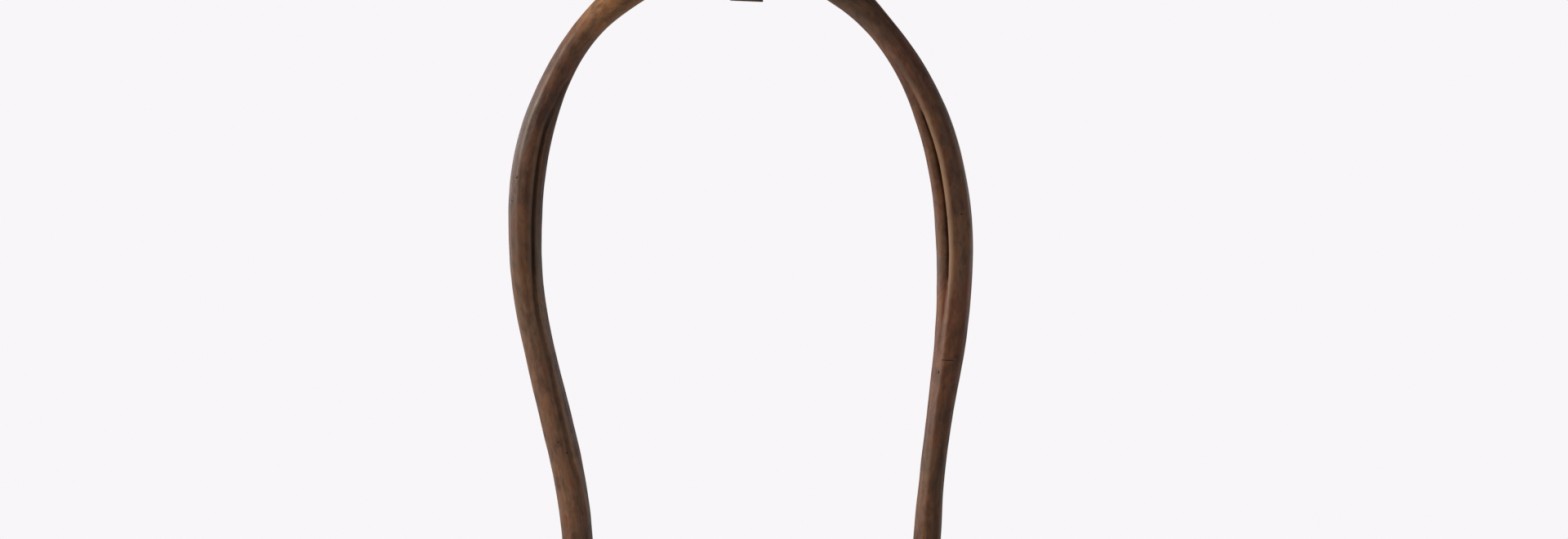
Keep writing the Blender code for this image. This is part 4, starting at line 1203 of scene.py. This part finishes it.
def makePin(side, material):
    low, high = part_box("bow_pin_" + side)
    table = pins["profile"]
    x, z, front = (low.x + high.x) / 2, (low.z + high.z) / 2, low.y - table[0][0] * mm
    evenly = {table[0][0] + 1.4 + pins["step"] * i for i in range(pins["steps"])}
    stations = sorted({at for at, _ in table} | evenly)
    rows = []
    for at in stations:
        radius = readTable(table, at)[0] * mm
        row = []
        for k in range(pins["sides"]):
            angle = 2 * math.pi * k / pins["sides"]
            # knife cuts: flats whose edges wander along the pin
            wander = 0.35 * wave((at * 0.02, side == "left", 0), 2.4, 4.0)
            part = 2 * math.pi / pins["facets"]
            off = (angle + wander) % part - part / 2
            flat = math.cos(part / 2) / math.cos(off)
            depth = 0.75 + 0.25 * wave((at * 0.05, math.floor((angle + wander) / part), 0), 1.3, 9.0)
            ring = radius * (1 - depth + depth * flat)
            ring -= 0.10 * mm * abs(wave((math.cos(angle), at * 0.2, math.sin(angle)), 2.0, 2))
            row.append(Vector((x + ring * math.cos(angle), front + at * mm, z + ring * math.sin(angle))))
        rows.append(row)
    mesh = skin(rows)
    markEdges(mesh)
    makePiece(side + "BowPin", mesh, material, side + "_pin", "pin_wood", "bow_pin_" + side)


# Whittled ash: pale where the knife last cut, brown with handling
def whittledAsh():
    material, tree, shader = startMaterial("whittled ash, handled", {"IOR": 1.5})
    place = addNode(tree, "ShaderNodeTexCoord").outputs["Object"]
    wide = addNode(tree, "ShaderNodeMapping", {"Scale": (90, 18, 90)}, {"Vector": place})
    patch = addNode(tree, "ShaderNodeTexNoise", {"Scale": 1.0, "Detail": 4.0}, {"Vector": wide.outputs[0]})
    tone = addNode(tree, "ShaderNodeValToRGB", {"stops": [
        (0.30, "#4a3525"), (0.45, "#5f4630"), (0.60, "#73573b"), (0.75, "#836748")]}, {"Fac": patch.outputs[0]})
    long = addNode(tree, "ShaderNodeMapping", {"Scale": (1300, 30, 1300)}, {"Vector": place})
    fibre = addNode(tree, "ShaderNodeTexNoise", {"Scale": 1.0, "Detail": 4.0, "Roughness": 0.6},
                    {"Vector": long.outputs[0]})
    lines = addNode(tree, "ShaderNodeValToRGB", {"stops": [
        (0.35, "#7b6d60"), (0.52, "#fbf6ee"), (0.75, "#cdb79e")]}, {"Fac": fibre.outputs[0]})
    grained = addNode(tree, "ShaderNodeMix", {"data_type": "RGBA", "blend_type": "MULTIPLY", "Factor": 0.8},
                      {6: tone.outputs[0], 7: lines.outputs[0]})
    edge = addNode(tree, "ShaderNodeAttribute", {"attribute_name": "edge"}).outputs["Fac"]
    rubbed = addNode(tree, "ShaderNodeMapRange", {
        "From Min": 0.07, "From Max": 0.30, "To Min": 0.0, "To Max": 0.6}, {"Value": edge})
    worn = addNode(tree, "ShaderNodeMix", {"data_type": "RGBA", "blend_type": "MIX", 7: linear("#9a7c58")},
                   {"Factor": rubbed.outputs[0], 6: grained.outputs[2]})
    tree.links.new(worn.outputs[2], shader.inputs["Base Color"])
    rough = addNode(tree, "ShaderNodeMapRange", {
        "From Min": 0.3, "From Max": 0.7, "To Min": 0.62, "To Max": 0.45}, {"Value": patch.outputs[0]})
    tree.links.new(rough.outputs[0], shader.inputs["Roughness"])
    fine = addNode(tree, "ShaderNodeBump", {"Strength": 0.5, "Distance": 0.0003}, {"Height": fibre.outputs[0]})
    tree.links.new(fine.outputs[0], shader.inputs["Normal"])
    return material


# Hanging strap: one strip of harness leather round the crown and over the hook, its two ends riveted together

strap = {
    "width": 29.0 * mm,
    "thick": 3.0 * mm,
    "hookRadius": 9.0 * mm,
    "crownRadius": 17.2 * mm,
    "crownZ": -55.5 * mm,
    "tailLeft": -94.2 * mm,           # the cut end runs a little askew
    "tailRight": -95.4 * mm,
    "rivetZ": -85.0 * mm,
    "rivetHole": 2.3 * mm,
    "across": 40,
    "step": 0.8 * mm,
}


def strapPath():
    # the strip's middle line as (y, z), up the front ply, over the hook and down the back
    half = strap["thick"] / 2
    crown, hook = strap["crownRadius"] + half, strap["hookRadius"] + half
    hookZ = -strap["hookRadius"]
    lean = math.asin((crown - hook) / (hookZ - strap["crownZ"]))
    side = [(half, strap["tailRight"]), (half, -0.0790), (half + 0.2 * mm, -0.0768), (0.0034, -0.0752),
            (0.0064, -0.0737)]
    for i in range(9):
        angle = -math.pi / 2 + 0.52 + (math.pi / 2 - 0.52 + lean) * i / 8
        side.append((crown * math.cos(angle), strap["crownZ"] + crown * math.sin(angle)))
    for i in range(7):
        angle = lean + (math.pi / 2 - lean) * i / 6
        side.append((hook * math.cos(angle), hookZ + hook * math.sin(angle)))
    return [(-y, z) for y, z in side] + side[-2::-1]


def makeStrap(material):
    corners = strapPath()
    # walk the line in even steps
    points, carried = [Vector(corners[0])], 0.0
    for a, b in zip(corners, corners[1:]):
        a, b = Vector(a), Vector(b)
        while carried + strap["step"] <= (b - a).length:
            carried += strap["step"]
            points.append(a + (b - a).normalized() * carried)
        carried -= (b - a).length
    for _ in range(6):                                     # ease the corners
        eased = [(a + 2 * b + c) / 4 for a, b, c in zip(points, points[1:], points[2:])]
        points = [points[0], *eased, points[-1]]
    points.append(Vector(corners[-1]))
    half, thick = strap["width"] / 2, strap["thick"] / 2 - 0.05 * mm
    rows, places = [], []
    travelled = 0.0
    for i, point in enumerate(points):
        before, after = points[max(i - 1, 0)], points[min(i + 1, len(points) - 1)]
        along = (after - before).normalized()
        out = Vector((-along.y, along.x))                  # away from the bow
        travelled += (point - before).length
        row = []
        # the strip's section: flat faces, rounded edges and a creased line near each edge
        for k in range(strap["across"]):
            face = 1 if k < strap["across"] // 2 else -1
            t = (k % (strap["across"] // 2)) / (strap["across"] // 2 - 1)
            x = half * (1 - 2 * t) * face
            rounded = math.sqrt(max(0.0, 1 - max(0.0, (abs(x) - half + 1.3 * mm) / (1.3 * mm)) ** 2))
            crease = 0.32 * mm * math.exp(-((abs(x) - half + 3.0 * mm) / (0.55 * mm)) ** 2)
            x -= 0.25 * mm * wave((0, travelled, face), 40, 5) * abs(x / half)
            lift = face * ((thick - crease) * (0.25 + 0.75 * rounded)
                           + 0.10 * mm * min(wave((x, travelled, face), 190, 8), 0))
            end = 1.0 if 1 < i < len(points) - 2 else 0.72
            spot = point + out * lift * end
            z = spot.y
            if z < strap["rivetZ"]:                        # the askew cut
                share = (strap["rivetZ"] - z) / (strap["rivetZ"] - strap["tailRight"])
                z += (strap["tailLeft"] - strap["tailRight"]) * share * (half - x) / (2 * half)
            row.append(Vector((x, spot.x, z)))
            places.append((x, travelled, float(face)))
        rows.append(row)
    mesh = skin(rows)
    holes = []
    for side in ("left", "right"):
        low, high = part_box("strap_rivet_" + side)
        x = (low.x + high.x) / 2
        holes.append(rod((x, -0.01, strap["rivetZ"]), (x, 0.01, strap["rivetZ"]), strap["rivetHole"], 32))
    mesh = combined(mesh, "DIFFERENCE", holes)
    keepNearest(mesh, "strip", [point for row in rows for point in row], places)
    markEdges(mesh)
    makePiece("hangingStrap", mesh, material, "hanger", "strap_leather", "hanging_strap")
    print("strap:", len(mesh.polygons), "faces")


# Harness leather: dark oiled grain, cracked where it bends and scuffed pale at the edges
def harnessLeather():
    material, tree, shader = startMaterial("harness leather, oiled and cracked", {"IOR": 1.5})
    strip = addNode(tree, "ShaderNodeAttribute", {"attribute_name": "strip"}).outputs["Vector"]
    # grain cells about 1 mm across and cracks about 0.7 mm apart across the strip
    patch = addNode(tree, "ShaderNodeTexNoise", {"Scale": 60.0, "Detail": 5.0, "Roughness": 0.6},
                    {"Vector": strip})
    tone = addNode(tree, "ShaderNodeValToRGB", {"stops": [
        (0.30, "#2c1b12"), (0.48, "#3f281a"), (0.62, "#543623"), (0.78, "#6a4932")]}, {"Fac": patch.outputs[0]})
    cells = addNode(tree, "ShaderNodeTexVoronoi", {"Scale": 900.0, "feature": "DISTANCE_TO_EDGE"},
                    {"Vector": strip})
    folds = addNode(tree, "ShaderNodeMapping", {"Scale": (140, 1500, 1)}, {"Vector": strip})
    crack = addNode(tree, "ShaderNodeTexNoise", {"Scale": 1.0, "Detail": 3.0, "Roughness": 0.7},
                    {"Vector": folds.outputs[0]})
    crackMask = addNode(tree, "ShaderNodeMapRange", {
        "From Min": 0.60, "From Max": 0.68, "To Min": 0.0, "To Max": 0.7}, {"Value": crack.outputs[0]})
    cracked = addNode(tree, "ShaderNodeMix", {"data_type": "RGBA", "blend_type": "MIX", 7: linear("#170e09")},
                      {"Factor": crackMask.outputs[0], 6: tone.outputs[0]})
    edge = addNode(tree, "ShaderNodeAttribute", {"attribute_name": "edge"}).outputs["Fac"]
    scuff = addNode(tree, "ShaderNodeMapRange", {
        "From Min": 0.08, "From Max": 0.26, "To Min": 0.0, "To Max": 0.6}, {"Value": edge})
    scuffed = addNode(tree, "ShaderNodeMix", {"data_type": "RGBA", "blend_type": "MIX", 7: linear("#8a7361")},
                      {"Factor": scuff.outputs[0], 6: cracked.outputs[2]})
    tree.links.new(scuffed.outputs[2], shader.inputs["Base Color"])
    rough = addNode(tree, "ShaderNodeMapRange", {
        "From Min": 0.3, "From Max": 0.7, "To Min": 0.42, "To Max": 0.62}, {"Value": patch.outputs[0]})
    tree.links.new(rough.outputs[0], shader.inputs["Roughness"])
    pebble = addNode(tree, "ShaderNodeBump", {"Strength": 0.35, "Distance": 0.0002},
                     {"Height": cells.outputs["Distance"]})
    creased = addNode(tree, "ShaderNodeBump", {"Strength": 0.6, "Distance": 0.0003, "invert": True},
                      {"Height": crackMask.outputs[0], "Normal": pebble.outputs[0]})
    tree.links.new(creased.outputs[0], shader.inputs["Normal"])
    return material


# Strap rivets: a domed copper head in front, a burr peened over behind

rivets = {
    # height out from the strap's middle and radius in mm, front first
    "profile": [
        (0.2, 4.9), (1.5, 4.82), (2.7, 4.55), (3.6, 4.05), (4.15, 3.62), (4.2, 3.42), (4.0, 3.3), (2.0, 3.3),
        (2.0, -3.3), (4.0, -3.3), (4.2, -3.5), (4.15, -4.0), (3.7, -4.25), (2.2, -4.3), (2.0, -4.8), (1.6, -5.1),
        (0.9, -5.27), (0.2, -5.3),
    ],
}


def makeRivets(material):
    part = turned([(radius * mm, height * mm) for radius, height in rivets["profile"]], 40, Matrix())
    for vertex in part.vertices:
        vertex.co *= 1 - 0.012 * (1 + wave(vertex.co, 700, 3)) * (abs(vertex.co.z) > 3.4 * mm)
    markEdges(part)
    places, names = [], ("strap_rivet_left", "strap_rivet_right")
    for name in names:
        low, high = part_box(name)
        places.append((((low.x + high.x) / 2, 0.0, (low.z + high.z) / 2), (0, -1, 0)))
    mesh = scatter(part, places, 2 * math.pi, 11, material)
    makePiece("strapRivets", mesh, material, "hanger", "rivet_copper", *names)
    print("rivets:", len(places))


# Copper: hammered heads gone brown, a little verdigris round the burrs
def hammeredCopper():
    material, tree, shader = startMaterial("hammered copper, tarnished", {"Metallic": 1.0})
    place = addNode(tree, "ShaderNodeTexCoord").outputs["Object"]
    patch = addNode(tree, "ShaderNodeTexNoise", {"Scale": 260.0, "Detail": 5.0}, {"Vector": place})
    tone = addNode(tree, "ShaderNodeValToRGB", {"stops": [
        (0.30, "#5c3526"), (0.48, "#8a5138"), (0.62, "#a8674a"), (0.74, "#6f4836"), (0.84, "#5d7a68")]},
        {"Fac": patch.outputs[0]})
    edge = addNode(tree, "ShaderNodeAttribute", {"attribute_name": "edge"}).outputs["Fac"]
    rubbed = addNode(tree, "ShaderNodeMapRange", {
        "From Min": 0.12, "From Max": 0.40, "To Min": 0.0, "To Max": 0.7}, {"Value": edge})
    bright = addNode(tree, "ShaderNodeMix", {"data_type": "RGBA", "blend_type": "MIX", 7: linear("#d08a66")},
                     {"Factor": rubbed.outputs[0], 6: tone.outputs[0]})
    tree.links.new(bright.outputs[2], shader.inputs["Base Color"])
    rough = addNode(tree, "ShaderNodeMapRange", {
        "From Min": 0.3, "From Max": 0.7, "To Min": 0.30, "To Max": 0.55}, {"Value": patch.outputs[0]})
    tree.links.new(rough.outputs[0], shader.inputs["Roughness"])
    # hammer dents about 1.5 mm across
    dents = addNode(tree, "ShaderNodeTexVoronoi", {"Scale": 650.0, "feature": "SMOOTH_F1"}, {"Vector": place})
    bump = addNode(tree, "ShaderNodeBump", {"Strength": 0.4, "Distance": 0.0003},
                   {"Height": dents.outputs["Distance"]})
    tree.links.new(bump.outputs[0], shader.inputs["Normal"])
    return material


makeStudio()
makeBow()
makeBeam()
iron = makeIrons()
makeNails(iron)
ash = whittledAsh()
makePin("left", ash)
makePin("right", ash)
makeStrap(harnessLeather())
makeRivets(hammeredCopper())
